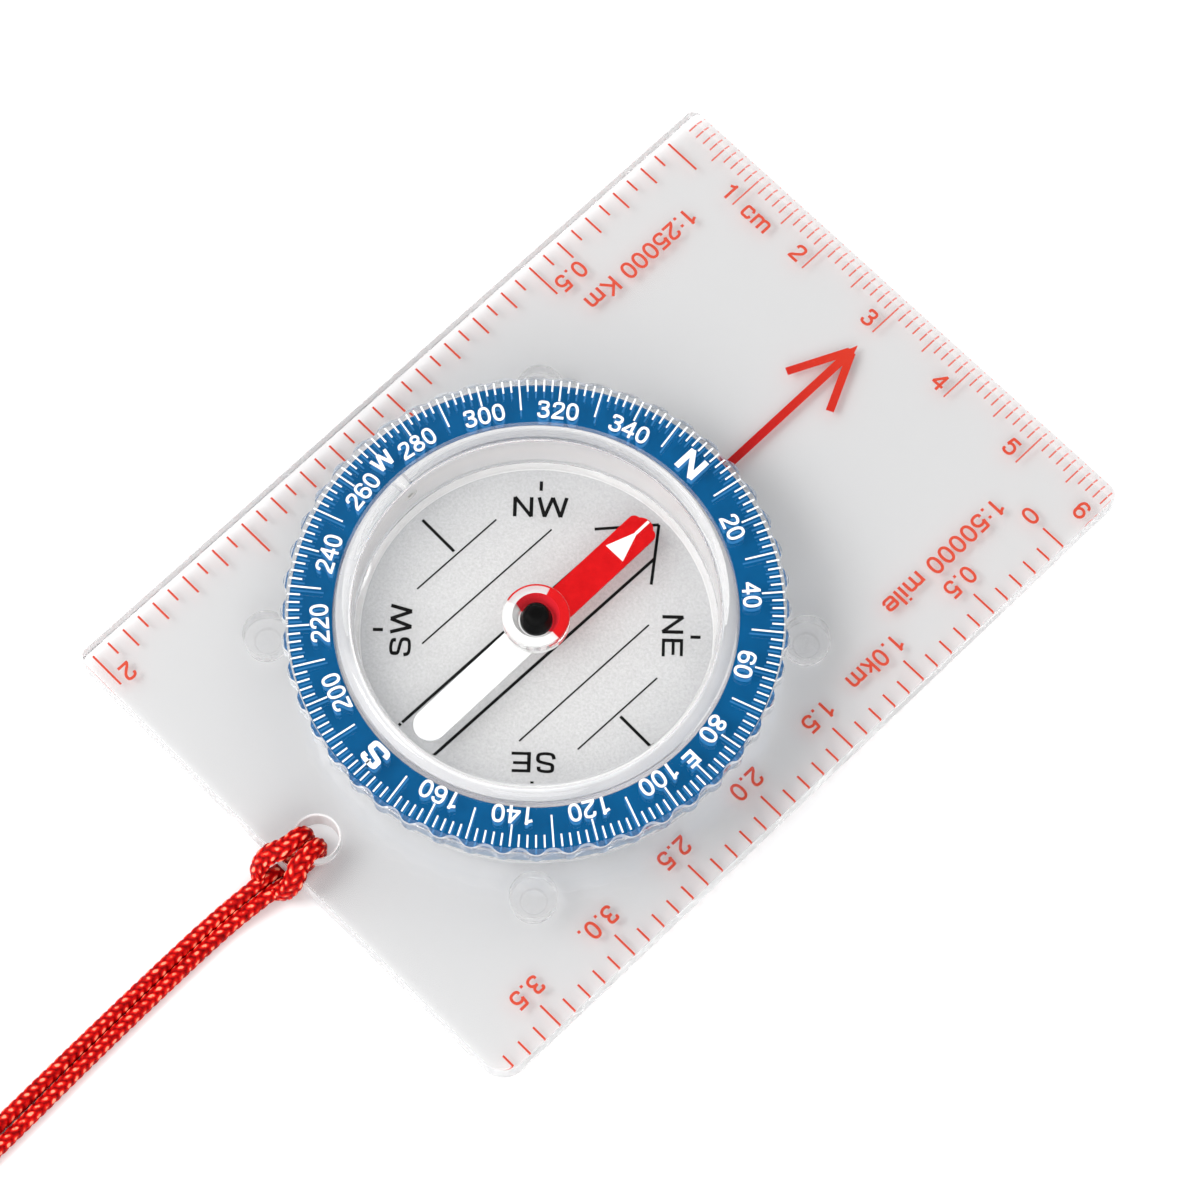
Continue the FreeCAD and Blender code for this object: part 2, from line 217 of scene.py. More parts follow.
def between(k, v, lo, hi, soft=0.0):
    if soft <= 0:
        return k.math("MULTIPLY", k.math("GREATER_THAN", v, lo), k.math("LESS_THAN", v, hi))
    a = k.math("MULTIPLY", k.math("SUBTRACT", v, lo - soft / 2), 1 / soft, clamp=True)
    b = k.math("MULTIPLY", k.math("SUBTRACT", hi + soft / 2, v), 1 / soft, clamp=True)
    return k.math("MULTIPLY", a, b)


def face_z(k):
    """How far the face looks up, -1 to 1."""
    n = k.new("SeparateXYZ")
    k.link(k.new("NewGeometry").outputs["Normal"], n.inputs[0])
    return n.outputs["Z"]


def glass(name, tint, through, rough=0.0, ior=1.49, scratch=0.0, haze=0.0, haze_color=(0.8, 0.8, 0.8, 1), walls=(), satin_and_painted_light=()):
    """Clear moulded plastic. Lamps' light passes it with the colour 'through'. walls are upright faces that sit against
    a neighbour and show no edge of their own, satin_and_painted_light are satin faces, some of them painted highlight,
    painted reflection and painted shade; each is told by its radius, slope and height (mm)."""
    k = Nodes(name)
    g = k.principled(**{"Base Color": tint, "Roughness": rough, "IOR": ior, "Transmission Weight": 1.0})
    co = k.coords()
    n1 = k.noise(900.0, 3.0, 0.6, co)
    n2 = k.noise(90.0, 2.0, 0.5, co)
    h = k.math("ADD", k.math("MULTIPLY", n1, 0.12), n2)
    if scratch > 0:
        k.link(k.bump(h, scratch, 0.00002), g.inputs["Normal"])
    surf = g.outputs[0]
    if haze > 0:
        d = k.principled(**{"Base Color": haze_color, "Roughness": 0.6})
        mx = k.new("MixShader")
        speck = k.noise(2600.0, 2.0, 0.7, co)
        sp = k.ramp(speck, [(0.45, c4(0, 0, 0)), (0.75, c4(1, 1, 1))])
        k.link(k.math("MULTIPLY", k.math("ADD", k.math("MULTIPLY", sp, 0.8), 0.6), haze), mx.inputs[0])
        k.link(surf, mx.inputs[1])
        k.link(d.outputs[0], mx.inputs[2])
        surf = mx.outputs[0]
    if walls or satin_and_painted_light:
        nz = face_z(k)
        axes = {}
    for spec in list(satin_and_painted_light) + list(walls):
        c = spec.get("centre")
        if c not in axes:
            axes[c] = polar(k, co, 0.0, c)
        rad, _, zz, _, _ = axes[c]
        m = k.math("MULTIPLY", between(k, rad, spec["r"][0], spec["r"][1], 0.06), between(k, nz, *spec.get("nz", (-0.5, 0.5))))
        if "z" in spec:
            m = k.math("MULTIPLY", m, between(k, k.math("MULTIPLY", zz, 1 / MM), spec["z"][0], spec["z"][1], 0.1))
        m = k.math("MULTIPLY", m, spec["amount"])
        if spec in satin_and_painted_light:
            d = k.principled(**{"Base Color": spec["color"], "Roughness": 0.7})
            d.inputs["Specular IOR Level"].default_value = 0.2
            if "grain" in spec:
                g0, g1 = 1 - spec["grain"] / 2, 1 + spec["grain"] / 2
                fine = k.noise(3800.0, 2.0, 0.75, co)
                k.link(k.ramp(fine, [(0.3, c4(*[v * g0 for v in spec["color"][:3]])), (0.7, c4(*[v * g1 for v in spec["color"][:3]]))]),
                       d.inputs["Base Color"])
            m = k.math("MULTIPLY", m, k.math("ADD", k.math("MULTIPLY", n2, 0.4), 0.8))
        else:
            d = k.new("BsdfTransparent")
            d.inputs[0].default_value = spec["color"]
        mx = k.new("MixShader")
        k.link(m, mx.inputs[0])
        k.link(surf, mx.inputs[1])
        k.link(d.outputs[0], mx.inputs[2])
        surf = mx.outputs[0]
    lp = k.new("LightPath")
    tr = k.new("BsdfTransparent")
    tr.inputs[0].default_value = through
    mix = k.new("MixShader")
    k.link(k.math("MAXIMUM", lp.outputs["Is Shadow Ray"], lp.outputs["Is Diffuse Ray"]), mix.inputs[0])
    k.link(surf, mix.inputs[1])
    k.link(tr.outputs[0], mix.inputs[2])
    return k.finish(mix.outputs[0])


def plastic(name, color, rough=0.35, spec=0.5, var=0.06, bump=0.1, scale=1500.0, coat=0.0):
    k = Nodes(name)
    p = k.principled(Roughness=rough)
    p.inputs["Specular IOR Level"].default_value = spec
    p.inputs["Coat Weight"].default_value = coat
    p.inputs["Coat Roughness"].default_value = 0.05
    co = k.coords()
    n = k.noise(scale * 0.3, 3.0, 0.6, co)
    lo = tuple(max(0.0, v * (1 - var)) for v in color[:3]) + (1,)
    hi = tuple(min(1.0, v * (1 + var)) for v in color[:3]) + (1,)
    k.link(k.ramp(n, [(0.3, lo), (0.7, hi)]), p.inputs["Base Color"])
    k.link(k.bump(k.noise(scale, 3.0, 0.6, co), bump, 0.00002), p.inputs["Normal"])
    return k.finish(p.outputs[0])


def ink(name, color, rough=0.5, var=0.05, spec=0.1, painted_shade_ramp=None):
    """Screen-printed ink: a little uneven in density, slightly satin."""
    k = Nodes(name)
    p = k.principled(Roughness=rough)
    p.inputs["Specular IOR Level"].default_value = spec
    co = k.coords()
    n = k.noise(700.0, 3.0, 0.65, co)
    lo = tuple(max(0.0, v * (1 - var)) for v in color[:3]) + (1,)
    hi = tuple(min(1.0, v * (1 + var)) for v in color[:3]) + (1,)
    if painted_shade_ramp:
        # the red is painted darker near the dial, as painted shadow of the dial, and lighter along its length (metres
        # along Y)
        sep = k.new("SeparateXYZ")
        k.link(co, sep.inputs[0])
        y = k.math("ADD", k.math("MULTIPLY", sep.outputs["Y"], 20.0), k.math("MULTIPLY", k.math("SUBTRACT", n, 0.5), 0.05))
        k.link(k.ramp(y, [(yy * 20.0, c) for yy, c in painted_shade_ramp]), p.inputs["Base Color"])
    else:
        k.link(k.ramp(n, [(0.3, lo), (0.7, hi)]), p.inputs["Base Color"])
    k.link(k.bump(k.noise(4000.0, 2.0, 0.6, co), 0.15, 0.00001), p.inputs["Normal"])
    return k.finish(p.outputs[0])


CLEAR = c4(1, 1, 1)
FEET_AT = [(AX + sx * 18.8 * MM, AY + sy * 18.8 * MM) for sx in (-1, 1) for sy in (-1, 1)]
HOLE_AT = ((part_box("lanyard_hitch")[0].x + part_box("lanyard_hitch")[1].x) / 2, -39.0 * MM)
M_PLATE = glass("clear_acrylic", c4(0.96, 0.96, 0.962), c4(0.8, 0.8, 0.8), scratch=0.05, haze=0.006,
                walls=[dict(r=(2.2, 2.5), color=CLEAR, amount=0.55, centre=c) for c in FEET_AT],
                satin_and_painted_light=[dict(r=(1.9, 2.6), nz=(-0.9, 0.97), color=c4(0.96, 0.93, 0.92), amount=0.4, centre=HOLE_AT),
                       dict(r=(25.5, 80.0), nz=(-0.6, 0.6), z=(0.9, 4.1), color=c4(0.8, 0.8, 0.805), amount=0.45)])
M_BEZ = glass("clear_dial", c4(0.97, 0.985, 1.0), c4(0.97, 0.975, 0.985), scratch=0.05,
              walls=[dict(r=(19.0, 19.78), color=c4(0.96, 0.93, 0.92), amount=0.8),
                     dict(r=(24.1, 26.0), color=CLEAR, amount=0.6)],
              # the white satin on the rim's top edge is a painted highlight; the blue satin under the scalloped rim is
              # painted refraction of the blue ring
              satin_and_painted_light=[dict(r=(24.1, 26.0), nz=(-0.5, 0.6), z=(10.1, 10.98), color=c4(0.99, 0.99, 1.0), amount=0.92),
                     dict(r=(24.0, 26.0), nz=(-1.01, -0.8), color=c4(0.06, 0.24, 0.45), amount=0.62),
                     dict(r=(19.0, 19.78), color=c4(0.86, 0.75, 0.73), amount=0.45)])
M_SKIRT = glass("smoke_blue", srgb(200, 211, 226), c4(0.9, 0.92, 0.95), rough=0.05, scratch=0.2,
                walls=[dict(r=(19.0, 20.7), color=c4(0.97, 0.94, 0.93), amount=1.0)],
                # the blue-grey satin on the outer wall is painted refraction and painted shade of the blue ring seen
                # through it
                satin_and_painted_light=[dict(r=(22.9, 26.0), nz=(-0.4, 0.4), color=c4(0.23, 0.35, 0.5), amount=0.48)])
M_CAPS = glass("clear_capsule", c4(0.995, 0.995, 0.995), c4(0.985, 0.985, 0.985), scratch=0.02,
               walls=[dict(r=(19.3, 19.8), color=c4(1, 0.99, 0.985), amount=0.9)],
               satin_and_painted_light=[dict(r=(17.9, 19.45), nz=(-1.01, -0.9), color=c4(0.80, 0.785, 0.77), amount=0.72),
                      dict(r=(17.4, 18.4), nz=(-0.95, 0.6), z=(4.0, 10.2), color=c4(0.80, 0.785, 0.77), amount=0.8),
                      dict(r=(18.0, 19.5), nz=(0.3, 1.01), color=c4(0.95, 0.945, 0.94), amount=0.24)])
M_BASE = glass("clear_capsule_base", c4(0.99, 0.99, 0.99), c4(0.985, 0.985, 0.985), scratch=0.02,
               walls=[dict(r=(17.9, 21.0), color=CLEAR, amount=0.8)],
               satin_and_painted_light=[dict(r=(1.2, 17.6), nz=(0.8, 1.01), color=c4(0.62, 0.616, 0.608), amount=0.55, grain=0.2),
                      dict(r=(17.2, 18.0), nz=(-0.7, 0.97), z=(3.6, 4.5), color=c4(0.76, 0.755, 0.745), amount=0.75)])
M_FEET = glass("clear_silicone", c4(0.99, 0.99, 0.99), c4(0.985, 0.985, 0.985), rough=0.03, ior=1.3, scratch=0.1, haze=0.04,
               walls=[dict(r=(2.1, 2.4), color=CLEAR, amount=0.6, centre=c) for c in FEET_AT]
               + [dict(r=(-1.0, 2.1), nz=(-0.97, 0.7), color=CLEAR, amount=0.8, centre=c) for c in FEET_AT],
               satin_and_painted_light=[dict(r=(-1.0, 1.3), nz=(-1.01, -0.5), z=(-0.1, 0.4), color=c4(0.95, 0.95, 0.95), amount=0.5, centre=c)
                      for c in FEET_AT])
M_DRAG = glass("clear_drag_ring", c4(0.97, 0.97, 0.96), c4(0.93, 0.93, 0.92), rough=0.2, ior=1.41, scratch=0.2, haze=0.35,
               haze_color=(0.86, 0.85, 0.84, 1))
M_RET = glass("clear_retainer", c4(0.995, 0.995, 0.995), c4(0.99, 0.99, 0.99), ior=1.03, scratch=0.02, haze=0.0)
M_PLUG = plastic("plug_plastic", c4(0.62, 0.61, 0.59), rough=0.4)
M_BLACK = plastic("black_plastic", c4(0.003, 0.003, 0.003), rough=0.12, spec=0.05, bump=0.12, scale=700.0)
M_JEWEL = glass("jewel", c4(0.8, 0.15, 0.25), c4(0.8, 0.3, 0.4), ior=1.76, scratch=0.02)
M_BLUE = plastic("blue_ring", c4(0.0012, 0.089, 0.232), rough=0.6, spec=0.05, var=0.08, bump=0.03, scale=900.0)
INK_CORAL = ink("ink_coral", srgb(255, 90, 64))
INK_PALE = ink("ink_coral_thin", srgb(255, 118, 100))
INK_EDGE = ink("ink_coral_edge", srgb(255, 168, 156))
# the red is painted darker towards the dial, as painted shadow of the dial
INK_RED = ink("ink_red", srgb(232, 14, 12), painted_shade_ramp=((0.014, srgb(196, 4, 4)), (0.022, srgb(226, 14, 10)), (0.036, srgb(250, 62, 36))))
INK_WHITE = ink("ink_white", c4(0.92, 0.92, 0.92))
INK_BLACK = ink("ink_black", c4(0.004, 0.004, 0.004), rough=0.9)
# pale blue of the print's painted reflection in the blue ring
INK_PRINT_REFLECTION = ink("painted_print_reflection", srgb(48, 118, 172))


def steel(name):
    k = Nodes(name)
    p = k.principled(**{"Base Color": c4(0.6, 0.6, 0.62), "Metallic": 1.0})
    co = k.coords()
    w = k.noise(5000.0, 2.0, 0.5, co)
    k.link(k.ramp(w, [(0.3, c4(0.15, 0.15, 0.15)), (0.7, c4(0.35, 0.35, 0.35))]), p.inputs["Roughness"])
    return k.finish(p.outputs[0])


M_STEEL = steel("steel_pin")


def hub_mat():
    """The clear moulded hub. The blade's two colours are painted into its top face, its well and round its rim: painted
    refraction of the blade seen through the clear plastic.
    """
    k = Nodes("clear_hub")
    co = k.coords()
    g = k.principled(**{"Base Color": c4(1.0, 0.99, 0.99), "Roughness": 0.0, "IOR": 1.49, "Transmission Weight": 1.0})
    k.link(k.bump(k.noise(500.0, 2.0, 0.5, co), 0.05, 0.00002), g.inputs["Normal"])
    rad, az, _, _, _ = polar(k, co, math.degrees(NEEDLE_TURN))
    up_ = k.math("GREATER_THAN", face_z(k), 0.25)
    n = k.noise(900.0, 3.0, 0.6, co)
    # painted refraction: where the blade's red shows through the hub
    well = k.math("MULTIPLY", between(k, rad, 1.2, 2.32), between(k, az, -104, 88, 3))
    flat = k.math("MULTIPLY", between(k, rad, 1.94, 3.24, 0.06), between(k, az, -20, 92, 2))
    rim = k.math("MULTIPLY", between(k, rad, 3.06, 3.26, 0.05), between(k, az, -106, -16, 4))
    painted_red_refraction = k.math("MAXIMUM", k.math("MAXIMUM", well, flat), rim)
    # the painted colours are lit as though level, so the well's slope casts no shade on them
    level = k.new("CombineXYZ")
    level.inputs[2].default_value = 1.0
    red = k.principled(Roughness=0.22)
    red.inputs["Specular IOR Level"].default_value = 0.03
    k.link(level.outputs[0], red.inputs["Normal"])
    # the red is painted brighter in the well, making up for the shade there, with random tone on top
    well_brightening_and_grain = k.math("ADD", k.math("MULTIPLY", well, 0.6), k.math("MULTIPLY", n, 0.4))
    k.link(k.ramp(well_brightening_and_grain, [(0.1, srgb(200, 6, 12)), (0.3, srgb(214, 12, 18)), (0.7, c4(0.97, 0.015, 0.03))]), red.inputs["Base Color"])
    # the white is painted greyer on the north side
    south = k.math("SUBTRACT", 1.0, between(k, az, -108, 90, 3))
    painted_white_refraction = between(k, rad, 1.2, 3.22, 0.1)
    wht = k.principled(Roughness=0.3)
    wht.inputs["Specular IOR Level"].default_value = 0.2
    k.link(level.outputs[0], wht.inputs["Normal"])
    k.link(k.ramp(south, [(0.0, c4(0.70, 0.70, 0.705)), (1.0, c4(0.93, 0.93, 0.92))]), wht.inputs["Base Color"])
    m1 = k.new("MixShader")
    k.link(k.math("MULTIPLY", k.math("MULTIPLY", painted_white_refraction, up_), 0.72), m1.inputs[0])
    k.link(g.outputs[0], m1.inputs[1])
    k.link(wht.outputs[0], m1.inputs[2])
    m2 = k.new("MixShader")
    k.link(k.math("MULTIPLY", k.math("MULTIPLY", painted_red_refraction, up_), 0.985), m2.inputs[0])
    k.link(m1.outputs[0], m2.inputs[1])
    k.link(red.outputs[0], m2.inputs[2])
    lp = k.new("LightPath")
    tr = k.new("BsdfTransparent")
    tr.inputs[0].default_value = c4(0.95, 0.95, 0.95)
    mix = k.new("MixShader")
    k.link(k.math("MAXIMUM", lp.outputs["Is Shadow Ray"], lp.outputs["Is Diffuse Ray"]), mix.inputs[0])
    k.link(m2.outputs[0], mix.inputs[1])
    k.link(tr.outputs[0], mix.inputs[2])
    return k.finish(mix.outputs[0])


M_HUB = hub_mat()


def needle_mat():
    """Enamelled strip: north half red, south half white, with the edge between them across the hub."""
    k = Nodes("needle_enamel")
    p = k.principled(Roughness=0.35)
    p.inputs["Specular IOR Level"].default_value = 0.08
    sep = k.new("SeparateXYZ")
    co = k.coords()
    k.link(co, sep.inputs[0])
    c, s = math.cos(NEEDLE_TURN), math.sin(NEEDLE_TURN)
    # distance along the needle from its axis, positive to the north end
    along = k.math("ADD", k.math("MULTIPLY", k.math("SUBTRACT", sep.outputs["Y"], AY), c),
                   k.math("MULTIPLY", k.math("SUBTRACT", sep.outputs["X"], AX), s))
    fac = k.math("GREATER_THAN", along, 0.0)
    n = k.noise(900.0, 3.0, 0.6, co)
    red = k.ramp(n, [(0.3, srgb(196, 10, 16)), (0.7, srgb(212, 18, 22))])
    wht = k.ramp(n, [(0.3, c4(0.88, 0.88, 0.87)), (0.7, c4(0.96, 0.96, 0.95))])
    mx = k.new("Mix", data_type="RGBA")
    k.link(fac, mx.inputs[0])
    k.link(wht, mx.inputs[6])
    k.link(red, mx.inputs[7])
    k.link(mx.outputs[2], p.inputs["Base Color"])
    k.link(k.bump(k.noise(2500.0, 2.0, 0.5, co), 0.08, 0.00001), p.inputs["Normal"])
    return k.finish(p.outputs[0])


M_NEEDLE = needle_mat()


def set_mat(node, mat):
    o = NODES[node]
    o.data.materials.clear()
    o.data.materials.append(mat)


for node, mat in {
    "baseplate": M_PLATE, "grip_feet": M_FEET, "drag_ring": M_DRAG, "bezel": M_BEZ,
    "bezel_skirt": M_SKIRT, "scale_ring": M_BLUE, "capsule_cover": M_CAPS, "capsule_base": M_BASE,
    "fill_plug": M_PLUG, "retaining_ring": M_RET, "pivot_pin": M_STEEL, "needle_blade": M_NEEDLE,
    "needle_hub": M_HUB, "bearing_cap": M_BLACK, "jewel_bearing": M_JEWEL,
}.items():
    set_mat(node, mat)

# -------------------------------------------------------------- stroke font
W0 = 0.155       # stroke width, in cap heights


def arc(cx, cy, rx, ry, a0, a1, n=14, p=2.0):
    out = []
    for i in range(n + 1):
        a = math.radians(a0 + (a1 - a0) * i / n)
        c, s = math.cos(a), math.sin(a)
        out.append((cx + rx * math.copysign(abs(c) ** (2 / p), c), cy + ry * math.copysign(abs(s) ** (2 / p), s)))
    return out


def smooth(pts, n=6):
    """Catmull-Rom through the points."""
    P = [pts[0]] + list(pts) + [pts[-1]]
    out = []
    for i in range(1, len(P) - 2):
        p0, p1, p2, p3 = (np.array(P[i + j], float) for j in (-1, 0, 1, 2))
        for q in range(n):
            t = q / n
            out.append(tuple(0.5 * ((2 * p1) + (-p0 + p2) * t + (2 * p0 - 5 * p1 + 4 * p2 - p3) * t * t
                                    + (-p0 + 3 * p1 - 3 * p2 + p3) * t ** 3)))
    out.append(tuple(P[-2]))
    return out


def glyphs(w):
    h = w / 2
    g = {}
    six_bowl = arc(0.40, 0.315, 0.335 - h, 0.33 - h, 0, 360, 24)
    six_back = smooth([(0.655, 0.735), (0.60, 0.87), (0.43, 1.01 - h), (0.235, 0.90), (0.135, 0.70), (0.06 + h, 0.46),
                       (0.085 + h, 0.26)])
    g["0"] = (0.777, [arc(0.387, 0.5, 0.33 - h, 0.51 - h, 0, 360, 28, 2.35)])
    g["1"] = (0.777, [[(0.52 - h, 0.0), (0.52 - h, 1.0)], smooth([(0.50, 0.965), (0.37, 0.84), (0.16, 0.745)])])
    g["2"] = (0.777, [smooth([(0.085 + h, 0.69), (0.13 + h, 0.86), (0.385, 1.01 - h), (0.61, 0.885), (0.65, 0.72),
                              (0.59, 0.56), (0.40, 0.38), (0.20, 0.21), (0.105 + h * 0.4, h)]),
                      [(0.06, h), (0.715, h)]])
    g["3"] = (0.777, [smooth([(0.085 + h, 0.735), (0.17, 0.90), (0.36, 1.01 - h), (0.56, 0.90), (0.605, 0.745),
                              (0.54, 0.61), (0.37, 0.545), (0.28, 0.545)]),
                      smooth([(0.28, 0.545), (0.40, 0.545), (0.58, 0.46), (0.645, 0.30), (0.58, 0.135), (0.37, h - 0.01),
                              (0.18, 0.12), (0.065 + h, 0.275)])])
    g["4"] = (0.777, [[(0.53, 0.0), (0.53, 1.0)], [(0.535, 0.965), (0.075, 0.315)], [(0.03, 0.24 + h), (0.73, 0.24 + h)]])
    g["5"] = (0.777, [[(0.185, 1.0 - h), (0.68, 1.0 - h)], [(0.19, 0.97), (0.13, 0.49)],
                      smooth([(0.12, 0.485), (0.22, 0.60), (0.38, 0.64), (0.58, 0.555), (0.655, 0.34), (0.58, 0.13),
                              (0.365, h - 0.012), (0.17, 0.125), (0.065 + h, 0.275)])])
    g["6"] = (0.777, [six_bowl, six_back])
    g["7"] = (0.777, [[(0.065, 1.0 - h), (0.705, 1.0 - h)], smooth([(0.665, 0.93), (0.49, 0.70), (0.36, 0.40), (0.305, 0.14), (0.295, 0.0)])])
    g["8"] = (0.777, [arc(0.388, 0.755, 0.285 - h, 0.255 - h, 0, 360, 22), arc(0.388, 0.275, 0.33 - h, 0.285 - h, 0, 360, 24)])
    g["9"] = (0.777, [[(0.777 - x, 1.0 - y) for x, y in s] for s in g["6"][1]])
    g["N"] = (1.009, [[(0.107 + h, 0), (0.107 + h, 1)], [(0.90 - h, 0), (0.90 - h, 1)],
                      [(0.107 + h * 0.9, 1.0), (0.90 - h * 0.9, 0.0)]])
    g["E"] = (0.93, [[(0.115 + h, 0), (0.115 + h, 1)], [(0.115, 1 - h), (0.855, 1 - h)], [(0.115, 0.535), (0.81, 0.535)],
                     [(0.115, h), (0.88, h)]])
    g["S"] = (0.93, [smooth([(0.80 - h, 0.705), (0.70, 0.875), (0.455, 1.012 - h), (0.22, 0.90), (0.115 + h, 0.735), (0.23, 0.60),
                             (0.47, 0.53), (0.72, 0.44), (0.84 - h, 0.275), (0.71, 0.11), (0.47, h - 0.012), (0.20, 0.115),
                             (0.06 + h, 0.33)])])
    g["W"] = (1.32, [[(0.045 + h, 1.0), (0.345, 0.0)], [(0.345, 0.0), (0.66, 1.0)], [(0.66, 1.0), (0.975, 0.0)],
                     [(0.975, 0.0), (1.275 - h, 1.0)]])
    g["K"] = (0.93, [[(0.107 + h, 0), (0.107 + h, 1)], [(0.80, 1.0), (0.16, 0.36)], [(0.38, 0.585), (0.845, 0.0)]])
    g["k"] = (0.70, [[(0.09 + h, 0), (0.09 + h, 1)], [(0.56, 0.725), (0.16, 0.31)], [(0.32, 0.47), (0.625, 0.0)]])
    g["c"] = (0.70, [smooth([(0.635 - h * 0.4, 0.50), (0.53, 0.66), (0.36, 0.74 - h), (0.165, 0.64), (0.05 + h, 0.365), (0.165, 0.09),
                             (0.36, h - 0.012), (0.54, 0.075), (0.64 - h * 0.4, 0.25)])])
    def m_arch(x0, x1):
        return smooth([(x0, 0.40), (x0 + 0.03, 0.60), (x0 + 0.20, 0.74 - h), (x1 - 0.04, 0.62), (x1, 0.45), (x1, 0.2), (x1, 0.0)])
    g["m"] = (1.164, [[(0.09 + h, 0), (0.09 + h, 0.725)], m_arch(0.09 + h, 0.584), m_arch(0.584, 1.08 - h)])
    g["i"] = (0.31, [[(0.155, 0), (0.155, 0.725)], [(0.155, 0.865), (0.155, 1.0)]])
    g["l"] = (0.31, [[(0.155, 0), (0.155, 1.0)]])
    g["e"] = (0.777, [[(0.09, 0.36), (0.69, 0.36)],
                      smooth([(0.715 - h, 0.36), (0.64, 0.60), (0.39, 0.74 - h), (0.15, 0.62), (0.055 + h, 0.36), (0.155, 0.10),
                              (0.39, h - 0.012), (0.59, 0.075), (0.69, 0.22)])])
    g[":"] = (0.388, [[(0.195, 0.0), (0.195, w)], [(0.195, 0.725 - w), (0.195, 0.725)]])
    g["."] = (0.388, [[(0.195, 0.0), (0.195, w)]])
    g[" "] = (0.388, [])
    return g


def ribbon(pts, w, closed=False):
    """Left and right edges of a stroke of width w along a polyline."""
    P = [np.array(p, float) for p in pts]
    if (P[0] - P[-1]) @ (P[0] - P[-1]) < 1e-9 and len(P) > 3:
        closed = True
        P = P[:-1]
    n = len(P)
    L, R = [], []
    for i in range(n):
        a = P[(i - 1) % n] if (closed or i > 0) else None
        b = P[(i + 1) % n] if (closed or i < n - 1) else None
        d1 = (P[i] - a) if a is not None else (b - P[i])
        d2 = (b - P[i]) if b is not None else (P[i] - a)
        d1 = d1 / (np.linalg.norm(d1) + 1e-12)
        d2 = d2 / (np.linalg.norm(d2) + 1e-12)
        n1 = np.array((-d1[1], d1[0]))
        n2 = np.array((-d2[1], d2[0]))
        m = n1 + n2
        m = m / (np.linalg.norm(m) + 1e-12)
        k = 1.0 / max(0.55, m @ n1)
        L.append(P[i] + m * (w / 2) * k)
        R.append(P[i] - m * (w / 2) * k)
    return L, R, closed


class Print:
    """Flat printed strokes gathered in one thin closed mesh."""

    def __init__(self):
        self.v, self.f = [], []
        self.count = 0

    def lift(self, z1):
        """Strokes that cross lie a hair above one another."""
        self.count += 1
        return z1 + 0.0006 * MM * (self.count % 7)

    def strip(self, L, R, closed, place, z0, z1):
        z1 = self.lift(z1)
        n = len(L)
        base = len(self.v)
        for i in range(n):
            l, r = place(L[i]), place(R[i])
            self.v += [(l[0], l[1], z1), (r[0], r[1], z1), (r[0], r[1], z0), (l[0], l[1], z0)]
        m = n if closed else n - 1
        for i in range(m):
            a = base + 4 * i
            b = base + 4 * ((i + 1) % n)
            self.f += [(a, a + 1, b + 1, b), (a + 1, a + 2, b + 2, b + 1), (a + 2, a + 3, b + 3, b + 2), (a + 3, a, b, b + 3)]
        if not closed:
            a, b = base, base + 4 * (n - 1)
            self.f += [(a + 3, a + 2, a + 1, a), (b, b + 1, b + 2, b + 3)]

    def line(self, p, q, w, z0, z1, place=lambda p: p):
        L, R, c = ribbon([p, q], w)
        self.strip(L, R, c, place, z0, z1)

    def poly(self, pts, w, z0, z1, place=lambda p: p):
        L, R, c = ribbon(pts, w)
        self.strip(L, R, c, place, z0, z1)

    def fill(self, pts, z0, z1, place=lambda p: p):
        """A convex filled outline, counter-clockwise."""
        z1 = self.lift(z1)
        base = len(self.v)
        n = len(pts)
        P = [place(p) for p in pts]
        self.v += [(x, y, z1) for x, y in P] + [(x, y, z0) for x, y in P]
        self.f.append(tuple(range(base, base + n)))
        self.f.append(tuple(range(base + 2 * n - 1, base + n - 1, -1)))
        for i in range(n):
            j = (i + 1) % n
            self.f.append((base + i, base + n + i, base + n + j, base + j))

    def text(self, s, centre, up, height, z0, z1, weight=W0, stretch=1.0, width=None):
        """s with its middle at centre, its letters' tops towards up. Sizes in metres."""
        g = glyphs(weight)
        total = sum(g[ch][0] for ch in s)
        # trim the side bearings of the first and last letter
        l0, r0 = 1e9, -1e9
        x = 0.0
        for ch in s:
            for st in g[ch][1]:
                for px, _ in st:
                    l0, r0 = min(l0, x + px - weight / 2), max(r0, x + px + weight / 2)
            x += g[ch][0]
        sx = stretch * height if width is None else width / (r0 - l0)
        ux, uy = up
        rx, ry = uy, -ux
        mid = (l0 + r0) / 2
        x = 0.0
        for ch in s:
            for st in g[ch][1]:
                L, R, c = ribbon(st, weight)

                def place(p, x=x):
                    a = (x + p[0] - mid) * sx
                    b = (p[1] - 0.5) * height
                    return (centre[0] + a * rx + b * ux, centre[1] + a * ry + b * uy)
                self.strip(L, R, c, place, z0, z1)
            x += g[ch][0]
        return total

    def build(self, name, mat, body, slot_name):
        o = mesh_from(name, self.v, self.f)
        bm = bmesh.new()
        bm.from_mesh(o.data)
        bmesh.ops.recalc_face_normals(bm, faces=bm.faces)
        bm.to_mesh(o.data)
        bm.free()
        o.data.materials.append(mat)
        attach(o, body)
        return o


# ------------------------------------------------- print under the baseplate
zp1 = Z_UNDER - 0.012 * MM
zp0 = Z_UNDER - 0.032 * MM
plate_print = Print()


def tick(x0, y0, x1, y1, w=0.22):
    plate_print.line((x0 * MM, y0 * MM), (x1 * MM, y1 * MM), w * MM, zp0, zp1)


